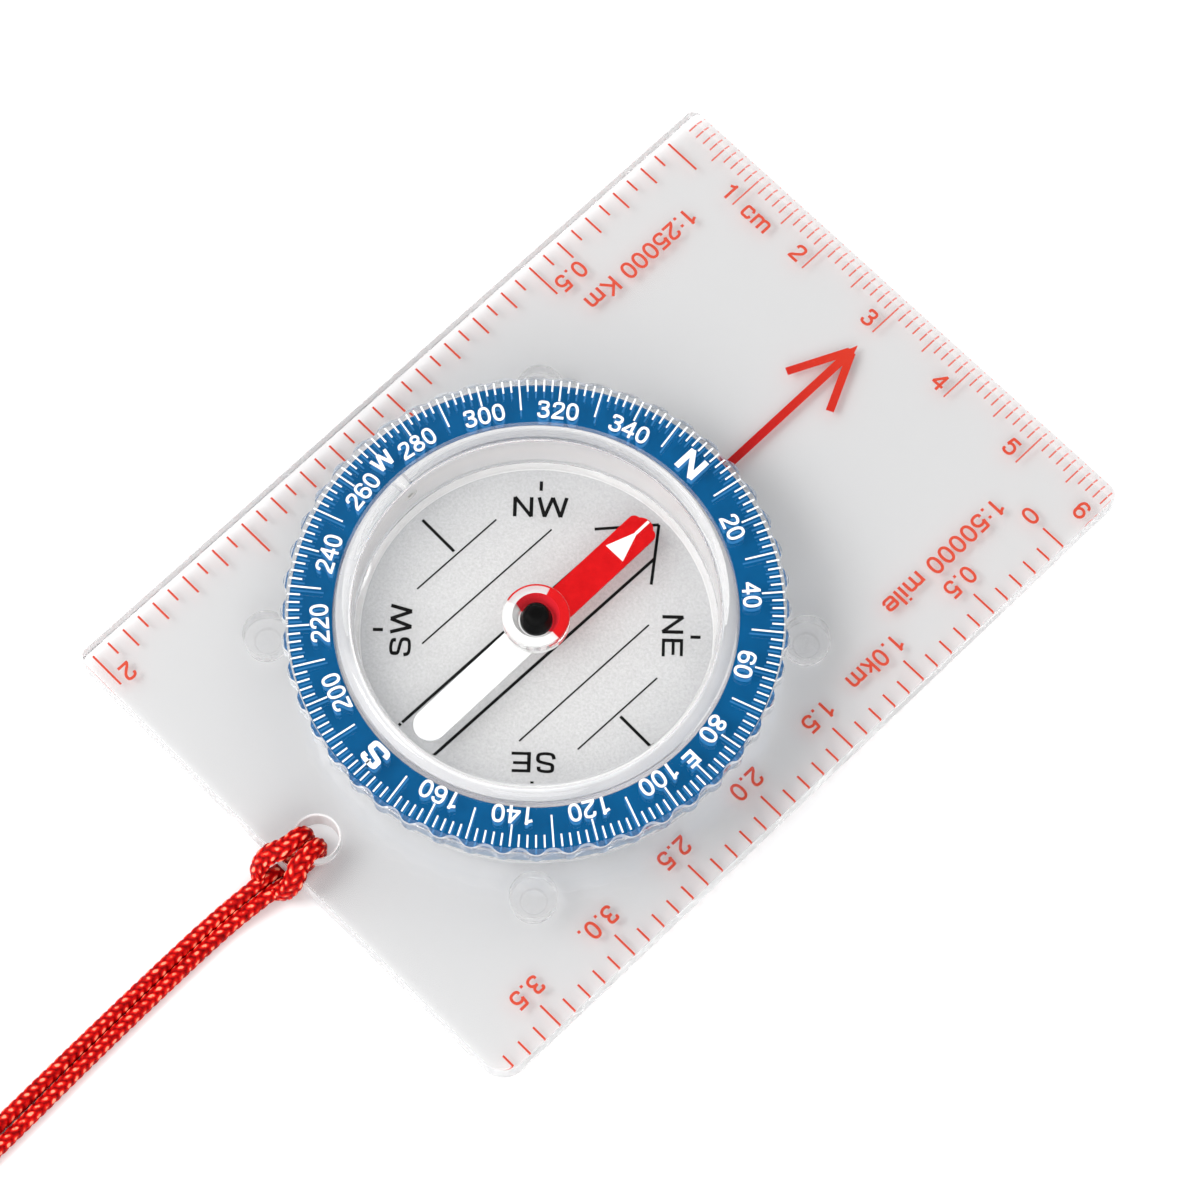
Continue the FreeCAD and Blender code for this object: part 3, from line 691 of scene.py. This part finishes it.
# centimetre ruler along the front edge, in thin lines, with a faint mark on the edge's rounding
rule, faint = Print(), Print()
for n in range(1, 60):
    x = -30 + n
    y_in = 38.3 if n % 10 == 0 else (40.3 if n % 5 == 0 else 41.05)
    rule.line((x * MM, y_in * MM), (x * MM, 42.12 * MM), 0.17 * MM, zp0, zp1)
    faint.line((x * MM, 42.62 * MM), (x * MM, 42.78 * MM), 0.17 * MM, zp0, zp1)
for n, px in zip("123456", (219, 376, 539, 697, 857, 1011)):
    plate_print.text(n, ((px / 16 - 35) * MM, (46.3 - 113 / 16) * MM), (0, 1), 1.9 * MM, zp0, zp1)
plate_print.text("cm", ((285 / 16 - 35) * MM, (46.3 - 115 / 16) * MM), (0, 1), 1.9 * MM, zp0, zp1, width=3.4 * MM)
# left side: 1:25000
for k_ in range(0, 41):
    y = 38.5 - 2 * k_
    if y < -42.2:
        break
    x_in = -25.4 if k_ % 10 == 0 else (-27.15 if k_ % 2 == 0 else -27.95)
    tick(-29.5, y, x_in, y)
for s, px, py in (("0.5", 147, 407), ("2", 145, 1382)):
    plate_print.text(s, ((px / 16 - 35) * MM, (46.3 - py / 16) * MM), (1, 0), 1.9 * MM, zp0, zp1)
plate_print.text("1:25000 Km", ((205 / 16 - 35) * MM, (46.3 - 303.5 / 16) * MM), (1, 0), 1.9 * MM, zp0, zp1, width=14.8 * MM)
# right side: 1:50000
for k_ in range(0, 39):
    y = 35.1 - 2 * k_
    if y < -41.5:
        break
    x_in = 26.8 if k_ % 5 == 0 else 27.85
    tick(29.5, y, x_in, y)
    faint.line((29.64 * MM, y * MM), (29.78 * MM, y * MM), 0.2 * MM, zp0, zp1)
for s, py in (("0", 178), ("0.5", 340), ("1.0km", 532), ("1.5", 662), ("2.0", 820), ("2.5", 980), ("3.0.", 1145), ("3.5", 1300)):
    plate_print.text(s, ((960 / 16 - 35) * MM, (46.3 - py / 16) * MM), (1, 0), 1.9 * MM, zp0, zp1)
plate_print.text("1:50000 mile", ((912 / 16 - 35) * MM, (46.3 - 326.5 / 16) * MM), (1, 0), 1.9 * MM, zp0, zp1, width=16.3 * MM)
plate_print.build("plate_scales_print", INK_CORAL, "baseplate", "ink_coral")
rule.build("plate_ruler_print", INK_PALE, "baseplate", "ink_coral")
faint.build("plate_edge_print", INK_EDGE, "baseplate", "ink_coral")

# direction-of-travel arrow: shaft, open head with a filled point
arrow = Print()
tipy = 35.9
arrow.line((0, 13.2 * MM), (0, (tipy - 0.6) * MM), 0.9 * MM, zp0, zp1)
arrow.line((-3.05 * MM, 29.0 * MM), (-0.12 * MM, (tipy - 0.75) * MM), 0.85 * MM, zp0, zp1)
arrow.line((3.05 * MM, 29.0 * MM), (0.12 * MM, (tipy - 0.75) * MM), 0.85 * MM, zp0, zp1)
arrow.fill([(-0.95 * MM, (tipy - 2.3) * MM), (0.95 * MM, (tipy - 2.3) * MM), (0.02 * MM, (tipy + 0.25) * MM), (-0.02 * MM, (tipy + 0.25) * MM)],
           zp0, zp1)
arrow.build("travel_arrow_print", INK_RED, "baseplate", "ink_coral")


# ---------------------------------------------------------------- dial print
def dial_pt(az_deg, r):
    a = math.radians(az_deg) + RING_TURN
    return (AX + r * MM * math.sin(a), AY + r * MM * math.cos(a))


def dial_ticks(pr, z0, z1, r_out=24.15, w=0.17):
    for d in range(0, 360, 2):
        if d % 20 == 10:
            ln = 3.2
        elif d % 20 == 0:
            ln = 2.2
        else:
            ln = 1.25
        if d in (90, 270):
            ln = 2.2
        if d == 0:
            ln = 1.25
        pr.line(dial_pt(d, r_out - ln), dial_pt(d, r_out), w * MM, z0, z1)


def dial_labels(pr, z0, z1, fat=0.0):
    for d in range(0, 360, 20):
        a = math.radians(d) + RING_TURN
        u = (math.sin(a), math.cos(a))
        if d == 0:
            pr.text("N", dial_pt(-0.7, 21.45), u, 2.45 * MM, z0, z1, weight=0.19, width=2.45 * MM)
        elif d == 180:
            pr.text("S", dial_pt(180, 21.35), u, 2.35 * MM, z0, z1, weight=0.19, width=2.3 * MM)
        else:
            wd = 2.75 if d < 100 else 4.05
            pr.text(str(d), dial_pt(d, 20.95), u, 1.8 * MM, z0, z1, weight=0.15, width=wd * MM)
    for d, s, r, wd in ((90, "E", 21.35, 1.6), (270, "W", 21.6, 2.2)):
        a = math.radians(d) + RING_TURN
        pr.text(s, dial_pt(d, r), (math.sin(a), math.cos(a)), 1.6 * MM, z0, z1, weight=0.19, width=wd * MM)


dp = Print()
dial_ticks(dp, Z_BEZ + 0.008 * MM, Z_BEZ + 0.03 * MM)
dial_labels(dp, Z_BEZ + 0.008 * MM, Z_BEZ + 0.03 * MM)
dp.build("dial_degrees_print", INK_WHITE, "dial", "ink_white")
# a pale-blue copy of the print on the blue ring under it: a painted reflection of the white print in the blue layer
gp = Print()
dial_ticks(gp, Z_BLUE + 0.006 * MM, Z_BLUE + 0.02 * MM, r_out=23.95)
dial_labels(gp, Z_BLUE + 0.006 * MM, Z_BLUE + 0.02 * MM)
gp.build("dial_degrees_painted_reflection", INK_PRINT_REFLECTION, "dial", "blue_plastic")

# --------------------------------------------------------- capsule floor print
fp = Print()
zf0, zf1 = Z_FLOOR + 0.008 * MM, Z_FLOOR + 0.028 * MM
cd, sd = math.cos(FLOOR_TURN), math.sin(FLOOR_TURN)


def fpt(p):
    """Dial coordinates (mm, north along +y) to the row frame."""
    x, y = p
    return (AX + (x * cd + y * sd) * MM, AY + (-x * sd + y * cd) * MM)


for sx in (-1, 1):
    if sx < 0:
        fp.line((-11.9, 0), (-16.5, 0), 0.31, zf0, zf1, fpt)
    else:
        fp.line((11.9, 0), (16.15, 0), 0.31, zf0, zf1, fpt)
        fp.line((16.32, 0), (16.62, 0), 0.31, zf0, zf1, fpt)
    fp.line((sx * 6.95, -8.9), (sx * 6.95, 8.6), 0.17, zf0, zf1, fpt)
    fp.line((sx * 11.5, -5.35), (sx * 11.5, 5.35), 0.17, zf0, zf1, fpt)
    fp.line((sx * 2.3, -15.85), (sx * 2.3, 13.8), 0.31, zf0, zf1, fpt)
    fp.line((sx * 2.3, -16.35), (sx * 2.3, -16.02), 0.31, zf0, zf1, fpt)
    fp.line((sx * 4.05, 11.7), (0, 16.65), 0.3, zf0, zf1, fpt)
for d, s, wd in ((315, "NW", 5.5), (45, "NE", 4.5), (135, "SE", 4.5), (225, "SW", 5.5)):
    a = math.radians(d)
    c = (13.35 * math.sin(a), 13.35 * math.cos(a))
    C = fpt(c)
    aa = a + FLOOR_TURN
    fp.text(s, C, (math.sin(aa), math.cos(aa)), 2.08 * MM, zf0, zf1, weight=0.145, width=wd * MM)
    r_in, r_out = (15.3, 15.7) if s == "SE" else (15.1, 16.1)
    fp.line((r_in * math.sin(a), r_in * math.cos(a)), (r_out * math.sin(a), r_out * math.cos(a)), 0.33, zf0, zf1, fpt)
fp.build("capsule_floor_print", INK_BLACK, "dial", "black_plastic")

# ------------------------------------------------------------ needle's marks
npnt = Print()
cn, sn = math.cos(NEEDLE_TURN), math.sin(NEEDLE_TURN)
Z_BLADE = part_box("needle_blade")[1].z


def npt(p):
    x, y = p
    return (AX + (x * cn + y * sn) * MM, AY + (-x * sn + y * cn) * MM)


npnt.line((0, 13.75), (0, 15.55), 0.3, Z_BLADE + 0.004 * MM, Z_BLADE + 0.02 * MM, npt)
npnt.fill([(-1.18, 10.75), (1.18, 10.75), (0.03, 13.95), (-0.03, 13.95)], Z_BLADE + 0.004 * MM, Z_BLADE + 0.02 * MM, npt)
npnt.build("needle_north_mark", INK_WHITE, "needle", "ink_white")

# ------------------------------------------------------------------ lanyard
CORD_D = 1.5
CORD_R = CORD_D / 2
LEAD = 3.0            # one turn of a yarn along the cord
YARNS = 3             # in each direction


def nurbs_curve(name, pts):
    cu = bpy.data.curves.new(name, "CURVE")
    cu.dimensions = "3D"
    sp = cu.splines.new("NURBS")
    sp.points.add(len(pts) - 1)
    for q, p in zip(sp.points, pts):
        q.co = (p[0] * MM, p[1] * MM, p[2] * MM, 1.0)
    sp.order_u = 3
    sp.use_endpoint_u = True
    cu.resolution_u = 12
    o = bpy.data.objects.new(name, cu)
    return o


def read_line(curve_obj):
    me = bpy.data.meshes.new_from_object(curve_obj)
    pts = np.array([v.co for v in me.vertices], float)
    bpy.data.meshes.remove(me)
    return pts


def resample(pts, step):
    d = np.r_[0, np.cumsum(np.linalg.norm(np.diff(pts, axis=0), axis=1))]
    keep = np.r_[True, np.diff(d) > 1e-9]
    d, pts = d[keep], pts[keep]
    n = max(2, int(round(d[-1] / step)) + 1)
    s = np.linspace(0, d[-1], n)
    return np.stack([np.interp(s, d, pts[:, k]) for k in range(3)], 1), s


def frames(P, side0):
    """Parallel-transported frames along the points."""
    T = np.gradient(P, axis=0)
    T /= np.linalg.norm(T, axis=1)[:, None]
    S = np.zeros_like(T)
    s = np.array(side0, float)
    for i in range(len(P)):
        s = s - T[i] * (s @ T[i])
        s /= np.linalg.norm(s)
        S[i] = s
    return T, S, np.cross(T, S)


def braid_height(theta, z, lead, n=YARNS):
    """Surface height of a plain braid, 0 to 1, at an angle and a distance along it, and the fibre coordinate across the
    yarn that lies on top there."""
    u = (theta / (2 * np.pi) * n - z / lead * n)          # clockwise yarns
    v = (theta / (2 * np.pi) * n + z / lead * n)          # the others
    fu = u - np.floor(u) - 0.5
    fv = v - np.floor(v) - 0.5
    wave = np.cos(np.pi * (u + v) + np.pi * 0.0)           # columns take turns on top
    prof_u = np.sqrt(np.clip(1 - (fu / 0.52) ** 2, 0, 1))
    prof_v = np.sqrt(np.clip(1 - (fv / 0.52) ** 2, 0, 1))
    hu = prof_u * 0.72 + 0.30 * wave
    hv = prof_v * 0.72 - 0.30 * wave
    top = hu > hv
    h = np.maximum(hu, hv)
    fib = np.where(top, fu, fv + 3.0)
    return np.clip(h, 0, 1.05), fib


def braided(name, line, mat, step=0.1, ring=32, lead=LEAD, radius=CORD_R, scale=None, side0=(1, 0, 0), depth=0.3, phase=0.0,
            taper_ends=True, clamp=None, yarns=YARNS):
    """A closed tube with the relief of a round braid along a polyline (metres)."""
    P, s = resample(np.asarray(line, float), step * MM)
    T, S, B = frames(P, side0)
    th = np.arange(ring) / ring * 2 * np.pi
    TH, Sg = np.meshgrid(th, s)
    h, fib = braid_height(TH + phase, Sg / MM, lead, yarns)
    r = (radius * (1 - depth) + radius * depth * 1.04 * h) * MM
    if taper_ends:
        e = np.minimum(s, s[-1] - s) / (radius * MM)
        r = r * np.sqrt(np.clip(1 - (1 - np.clip(e, 0, 1)) ** 2, 0.02, 1))[:, None]
    wx = np.ones(len(s)) if scale is None else np.interp(s / s[-1], scale[0], scale[1])
    wz = np.ones(len(s)) if scale is None else np.interp(s / s[-1], scale[0], scale[2])
    X = P[:, None, :] + (r * np.cos(TH) * wx[:, None])[..., None] * S[:, None, :] \
        + (r * np.sin(TH) * wz[:, None])[..., None] * B[:, None, :]
    if clamp is not None:
        X = clamp(X)
    n = len(P)
    verts = X.reshape(-1, 3)
    i = np.arange(n - 1)[:, None] * ring
    j = np.arange(ring)[None, :]
    a = i + j
    b = i + (j + 1) % ring
    quads = np.stack([a, b, b + ring, a + ring], -1).reshape(-1, 4)
    me = bpy.data.meshes.new(name)
    allv = np.concatenate([verts, P[:1], P[-1:]])
    caps = [(len(verts), (k_ + 1) % ring, k_) for k_ in range(ring)] + \
           [(len(verts) + 1, (n - 1) * ring + k_, (n - 1) * ring + (k_ + 1) % ring) for k_ in range(ring)]
    me.from_pydata(allv.tolist(), [], quads.tolist() + caps)
    me.update()
    me.polygons.foreach_set("use_smooth", [True] * len(me.polygons))
    hh = np.concatenate([h.reshape(-1), [0.5, 0.5]]).astype(np.float32)
    ff = np.concatenate([fib.reshape(-1), [0, 0]]).astype(np.float32)
    at = me.attributes.new("yarn_height", "FLOAT", "POINT")
    at.data.foreach_set("value", hh)
    at = me.attributes.new("yarn_across", "FLOAT", "POINT")
    at.data.foreach_set("value", ff)
    o = new_obj(name, me)
    me.materials.append(mat)
    return o, P


def cord_material(name, low, mid, high, highlight_edge, crown_highlight, rough=0.38, sheen=0.0):
    k = Nodes(name)
    p = k.principled(Roughness=rough)
    p.inputs["Sheen Weight"].default_value = sheen
    p.inputs["Sheen Roughness"].default_value = 0.4
    p.inputs["Sheen Tint"].default_value = (1.0, 0.55, 0.45, 1.0)
    p.inputs["Specular IOR Level"].default_value = 0.05
    hgt = k.new("Attribute", attribute_name="yarn_height").outputs["Fac"]
    acr = k.new("Attribute", attribute_name="yarn_across").outputs["Fac"]
    co = k.coords()
    # fine filaments across each yarn
    comb = k.new("CombineXYZ")
    k.link(k.math("MULTIPLY", acr, 16.0), comb.inputs[0])
    sc = k.new("VectorMath", operation="SCALE")
    k.link(co, sc.inputs[0])
    sc.inputs["Scale"].default_value = 900.0
    add = k.new("VectorMath", operation="ADD")
    k.link(comb.outputs[0], add.inputs[0])
    k.link(sc.outputs[0], add.inputs[1])
    fil = k.noise(1.0, 2.0, 0.6, add.outputs[0])
    var = k.noise(1300.0, 2.0, 0.6, co)
    # the colour follows the braid's relief: the lowest colour is painted shade in the creases between yarns, the top
    # two are painted highlights on the yarns' crowns
    hv = k.math("ADD", hgt, k.math("MULTIPLY", k.math("SUBTRACT", var, 0.5), 0.42))
    base = k.ramp(hv, [(0.38, low), (0.68, mid), (0.84, high), (0.93, highlight_edge), (1.0, crown_highlight)])
    mx = k.new("Mix", data_type="RGBA", blend_type="MULTIPLY")
    mx.inputs[0].default_value = 0.7
    k.link(base, mx.inputs[6])
    k.link(k.ramp(k.math("MULTIPLY", k.math("ADD", fil, var), 0.5), [(0.34, c4(0.36, 0.24, 0.24)), (0.56, c4(1.0, 1.0, 1.0))]), mx.inputs[7])
    k.link(mx.outputs[2], p.inputs["Base Color"])
    k.link(k.bump(fil, 0.5, 0.00005), p.inputs["Normal"])
    return k.finish(p.outputs[0])


# the first colour is painted shade in the creases, the last two are painted highlights
M_CORD = cord_material("red_cord", srgb(66, 0, 0), srgb(166, 2, 6), srgb(208, 10, 10), srgb(238, 44, 28), srgb(255, 158, 126))
M_TIE = cord_material("tie_cord", c4(0.01, 0.01, 0.012), c4(0.03, 0.03, 0.034), c4(0.06, 0.06, 0.066), c4(0.09, 0.09, 0.1),
                      c4(0.14, 0.14, 0.15))

coil_lo, coil_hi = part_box("lanyard_coil")
CC = ((coil_lo.x + coil_hi.x) / 2 / MM, (coil_lo.y + coil_hi.y) / 2 / MM)
LIFT = 0.3            # the tie's wraps lie under the coil


def coil_points(r_cols, layers, start_col, turns, z0=CORD_R + LIFT, n=16, drop_to=None):
    """Control points of one strand's turns, clockwise seen from above, entered at angle 0 going to -Y."""
    seq = []
    for li, z in enumerate(layers):
        cols_ = r_cols if li % 2 == 0 else r_cols[::-1]
        for r in cols_:
            seq.append((r, z))
    pts = []
    k_ = 1
    total = int(round(turns * n))
    while k_ <= total:
        t = k_ / n
        a = -2 * math.pi * t
        q = int(t)
        f = t - q
        r0, z_0 = seq[min(q, len(seq) - 1)]
        r1, z_1 = seq[min(q + 1, len(seq) - 1)]
        w = min(1.0, max(0.0, (f - 0.62) / 0.38))
        w = w * w * (3 - 2 * w)
        r = r0 + (r1 - r0) * w
        z = z_0 + (z_1 - z_0) * w
        R = r / math.cos(math.pi / n) ** 0.75
        pts.append((CC[0] + R * math.cos(a), CC[1] + R * math.sin(a), z))
        k_ += 1
    return pts


zl = [CORD_R + LIFT + i * 1.42 for i in range(4)]
ROUTE_L = [(-0.75, -41.6, 0.52), (-0.80, -43.2, 0.80), (-0.90, -44.4, 1.70), (-1.08, -45.9, 1.72), (-1.60, -50.2, 0.80), (-1.67, -54.0, 0.75), (-1.60, -60.5, 0.75), (-1.41, -69.5, 0.75),
           (-1.16, -78.5, 0.75), (-0.98, -86.5, 0.80), (-0.75, -92.5, 1.0)]
ROUTE_R = [(0.75, -41.6, 0.52), (0.74, -43.2, 0.80), (0.64, -44.4, 1.70), (0.46, -45.9, 1.72), (-0.14, -50.2, 0.80), (-0.20, -54.0, 0.75), (-0.11, -60.5, 0.75), (0.10, -69.5, 0.75),
           (0.46, -78.5, 0.75), (0.68, -86.5, 0.80), (0.75, -92.5, 1.0)]
coil_L = coil_points([9.6, 6.6], zl, 0, 7.25)
coil_R = coil_points([11.1, 8.1], zl, 0, 6.25)
knot_lo, knot_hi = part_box("lanyard_end_knot")
KX, KY = (knot_lo.x + knot_hi.x) / 2 / MM, (knot_lo.y + knot_hi.y) / 2 / MM


def under_plate(X):
    """The cord is pressed flat between the plate and the ground."""
    y = X[..., 1]
    z = X[..., 2]
    inside = np.clip((y - (-43.9 * MM)) / (0.9 * MM), 0, 1)
    low = z < 2.2 * MM
    ztop = 0.96 * MM
    zc = np.where(low, np.minimum(z, ztop + (1 - inside) * 3 * MM), z)
    X[..., 2] = np.maximum(zc, 0.015 * MM)
    return X


cords = []
TAIL_L = [(-13.5, -104.75, 5.2), (-16.2, -105.4, 4.9), (-17.8, -106.2, 4.0), (KX, KY, 2.6)]
TAIL_R = [(-13.5, -103.6, 5.2), (-16.4, -104.6, 5.0), (-18.2, -105.8, 4.0), (KX, KY, 2.6)]
for name, route, coil, tail in (("lanyard_cord_left", ROUTE_L, coil_L, TAIL_L), ("lanyard_cord_right", ROUTE_R, coil_R, TAIL_R)):
    curve = nurbs_curve(name + "_route", route + coil + tail)
    line = read_line(curve)
    o, P = braided(name, line, M_CORD, step=0.11, ring=32, depth=0.36, phase=math.pi / 6, clamp=under_plate)
    cords.append((o, P, name))

for o, P, name in cords:
    L = float(np.linalg.norm(np.diff(P, axis=0), axis=1).sum())
    print("cord", name, "length", round(L, 4))

# end knot: an overhand knot of the doubled cord
t = np.linspace(0, 2 * np.pi, 160)
kn = np.stack([np.sin(t) + 2 * np.sin(2 * t), np.cos(t) - 2 * np.cos(2 * t), -1.25 * np.sin(3 * t)], 1) * 0.82
kn += np.array([KX, KY, 2.0])
knot, _ = braided("lanyard_knot", kn * MM, M_CORD, step=0.125, ring=24, side0=(0, 0, 1), taper_ends=False,
                  clamp=lambda X: np.concatenate([X[..., :2], np.maximum(X[..., 2:], 0.015 * MM)], -1))
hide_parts("lanyard_end_knot")
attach(knot, "baseplate")

# the tie round the coil, pulled tight: straight between the corner cords of the coil's section (radius and height, mm)
tie_az = math.radians(200.0)
corners = [(6.6, zl[0]), (11.1, zl[0]), (11.1, zl[2]), (6.6, zl[3])]
off = CORD_R + 0.33
loop = []
for i in range(4):
    (x0, y0), (x1, y1), (x2, y2) = (corners[(i + j - 1) % 4] for j in range(3))
    n0 = math.atan2(-(x1 - x0), y1 - y0)
    n1 = math.atan2(-(x2 - x1), y2 - y1)
    n1 += 2 * math.pi if n1 < n0 else 0.0
    for a in np.linspace(n0, n1, 8):
        loop.append((x1 + off * math.cos(a), y1 + off * math.sin(a)))
loop = np.array(loop + loop[:1])
run = np.concatenate([[0.0], np.cumsum(np.linalg.norm(np.diff(loop, axis=0), axis=1))])
rows = []
for u in np.linspace(0, 3.0, 260):
    at = ((u + 0.14) % 1.0) * run[-1]
    pr, pz = np.interp(at, run, loop[:, 0]), np.interp(at, run, loop[:, 1])
    along_ = -1.0 + 2.0 * u / 3.0
    rows.append((CC[0] + pr * math.cos(tie_az) - along_ * math.sin(tie_az),
                 CC[1] + pr * math.sin(tie_az) + along_ * math.cos(tie_az), pz))
tie, _ = braided("lanyard_tie", np.array(rows) * MM, M_TIE, step=0.12, ring=16, lead=1.6, radius=0.36, side0=(0, 0, 1),
                 clamp=lambda X: np.concatenate([X[..., :2], np.maximum(X[..., 2:], 0.015 * MM)], -1))
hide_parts("lanyard_coil_tie")
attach(tie, "baseplate")

# the hitch: both halves of the cord come up through the hole, run back over the edge and pass under the tails
left_leg = [(-0.75, -41.9, 0.5), (-0.78, -40.7, 0.5), (-0.80, -39.75, 1.1), (-0.84, -39.35, 2.6), (-0.92, -39.35, 4.2),
            (-1.0, -40.1, 4.95), (-1.02, -41.2, 4.95), (-1.12, -42.3, 4.9), (-1.80, -43.4, 4.5), (-2.0, -44.5, 3.5),
            (-1.75, -45.3, 2.2), (-1.1, -45.7, 0.95), (-0.2, -45.6, 0.55)]
right_leg = [(0.75, -45.2, 0.9), (1.4, -44.85, 2.0), (1.75, -44.25, 3.2), (1.7, -43.3, 4.3), (1.22, -42.4, 4.85), (1.02, -41.2, 4.95),
             (1.0, -40.0, 4.95), (0.92, -39.25, 4.2), (0.84, -39.3, 2.6), (0.80, -39.75, 1.1), (0.78, -40.7, 0.5), (0.75, -41.9, 0.5)]
hitch_pts = left_leg + right_leg
hc = nurbs_curve("lanyard_hitch_route", hitch_pts)
hline = read_line(hc)
hitch, _ = braided("lanyard_hitch_cord", hline, M_CORD, step=0.08, ring=48, lead=4.2, depth=0.4, yarns=4,
                   scale=([0, 0.13, 0.22, 0.3, 0.42, 0.46, 0.5, 0.54, 0.58, 0.7, 0.78, 0.87, 1],
                          [1, 1, 1.25, 1.5, 1.5, 1.2, 1.0, 1.2, 1.5, 1.5, 1.25, 1, 1],
                          [0.8, 0.95, 0.85, 0.8, 0.85, 0.8, 0.7, 0.8, 0.85, 0.8, 0.85, 0.95, 0.8]), clamp=under_plate)
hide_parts("lanyard_hitch")
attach(hitch, "baseplate")

for (o, P, name), nodes, ex in zip(cords, (("lanyard_strand_left",), ("lanyard_strand_right", "lanyard_coil")),
                                   ((-1.08, -46.4, 0.75), (0.47, -46.4, 0.75))):
    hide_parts(*nodes)
    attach(o, "baseplate")
    L = float(np.linalg.norm(np.diff(P, axis=0), axis=1).sum())
    [knot, tie, hitch] if "left" in name else [knot]

# -------------------------------------------------------------------- stage
floor = mesh_from("floor", [(-3, -3, 0), (3, -3, 0), (3, 3, 0), (-3, 3, 0)], [(0, 1, 2, 3)])
k = Nodes("floor_paper")
fpn = k.principled(Roughness=0.9)
fpn.inputs["Specular IOR Level"].default_value = 0.1
fpn.inputs["Base Color"].default_value = (0.93, 0.93, 0.93, 1)
k.link(k.bump(k.noise(300.0, 3.0, 0.6, k.coords()), 0.05, 0.0001), fpn.inputs["Normal"])
floor.data.materials.append(k.finish(fpn.outputs[0]))
floor.location.z = -0.00002

world = bpy.data.worlds.new("studio")
scene.world = world
world.use_nodes = True
wt = world.node_tree
bg = wt.nodes["Background"]
tc = wt.nodes.new("ShaderNodeTexCoord")
sep = wt.nodes.new("ShaderNodeSeparateXYZ")
wt.links.new(tc.outputs["Generated"], sep.inputs[0])
nrm = wt.nodes.new("ShaderNodeVectorMath")
nrm.operation = "NORMALIZE"
wt.links.new(tc.outputs["Generated"], nrm.inputs[0])
wt.links.new(nrm.outputs[0], sep.inputs[0])


def lobe(direction, full, none, value):
    """A soft-edged patch of the room's light round a direction, from its full to its zero angle in degrees."""
    d = wt.nodes.new("ShaderNodeVectorMath")
    d.operation = "DOT_PRODUCT"
    wt.links.new(nrm.outputs[0], d.inputs[0])
    d.inputs[1].default_value = Vector(direction).normalized()
    m = wt.nodes.new("ShaderNodeMapRange")
    m.interpolation_type = "SMOOTHSTEP"
    m.inputs["From Min"].default_value = math.cos(math.radians(none))
    m.inputs["From Max"].default_value = math.cos(math.radians(full))
    m.inputs["To Min"].default_value = 0.0
    m.inputs["To Max"].default_value = value
    wt.links.new(d.outputs["Value"], m.inputs["Value"])
    return m.outputs["Result"]


def wmath(op, a, b):
    n = wt.nodes.new("ShaderNodeMath")
    n.operation = op
    for i, v in enumerate((a, b)):
        if isinstance(v, (int, float)):
            n.inputs[i].default_value = v
        else:
            wt.links.new(v, n.inputs[i])
    return n.outputs[0]


# a white tent with a dark opening overhead, where the camera looks in, and a brighter panel up to the left
dark = lobe((-0.135, 0.22, 0.965), 8.0, 22.0, 1.0)
panel = lobe((-0.64, -0.34, 0.69), 8.0, 26.0, 1.2)
shade = lobe((0.70, 0.60, 0.35), 10.0, 75.0, 0.4)
light = wmath("ADD", wmath("MULTIPLY", wmath("SUBTRACT", wmath("SUBTRACT", 1.0, dark), shade), 1.2), panel)
light = wmath("ADD", light, 0.04)
# the tent's skirt is a mid grey all round, so that low reflections and the clear parts' edges keep some tone; the
# backdrop itself stays white
skirt = wt.nodes.new("ShaderNodeMapRange")
skirt.interpolation_type = "SMOOTHSTEP"
wt.links.new(sep.outputs["Z"], skirt.inputs["Value"])
skirt.inputs["From Min"].default_value = 0.12
skirt.inputs["From Max"].default_value = 0.55
skirt.inputs["To Min"].default_value = 0.52
skirt.inputs["To Max"].default_value = 1.0
path = wt.nodes.new("ShaderNodeLightPath")
light = wmath("MULTIPLY", light, wmath("MAXIMUM", skirt.outputs["Result"], path.outputs["Is Camera Ray"]))
wt.links.new(light, bg.inputs["Color"])
bg.inputs["Strength"].default_value = 1.0


def area(name, loc, target, size, power, color=(1, 1, 1)):
    d = bpy.data.lights.new(name, "AREA")
    d.shape = "RECTANGLE"
    d.size, d.size_y = size
    d.energy = power
    d.color = color
    o = bpy.data.objects.new(name, d)
    col.objects.link(o)
    o.location = loc
    v = Vector(target) - Vector(loc)
    o.rotation_euler = v.to_track_quat("-Z", "Y").to_euler()
    return o


area("key", (-0.22, -0.33, 0.52), (0, 0, 0), (0.26, 0.26), 1.5)
area("fill", (0.30, -0.30, 0.42), (0, 0, 0), (0.3, 0.3), 0.9)
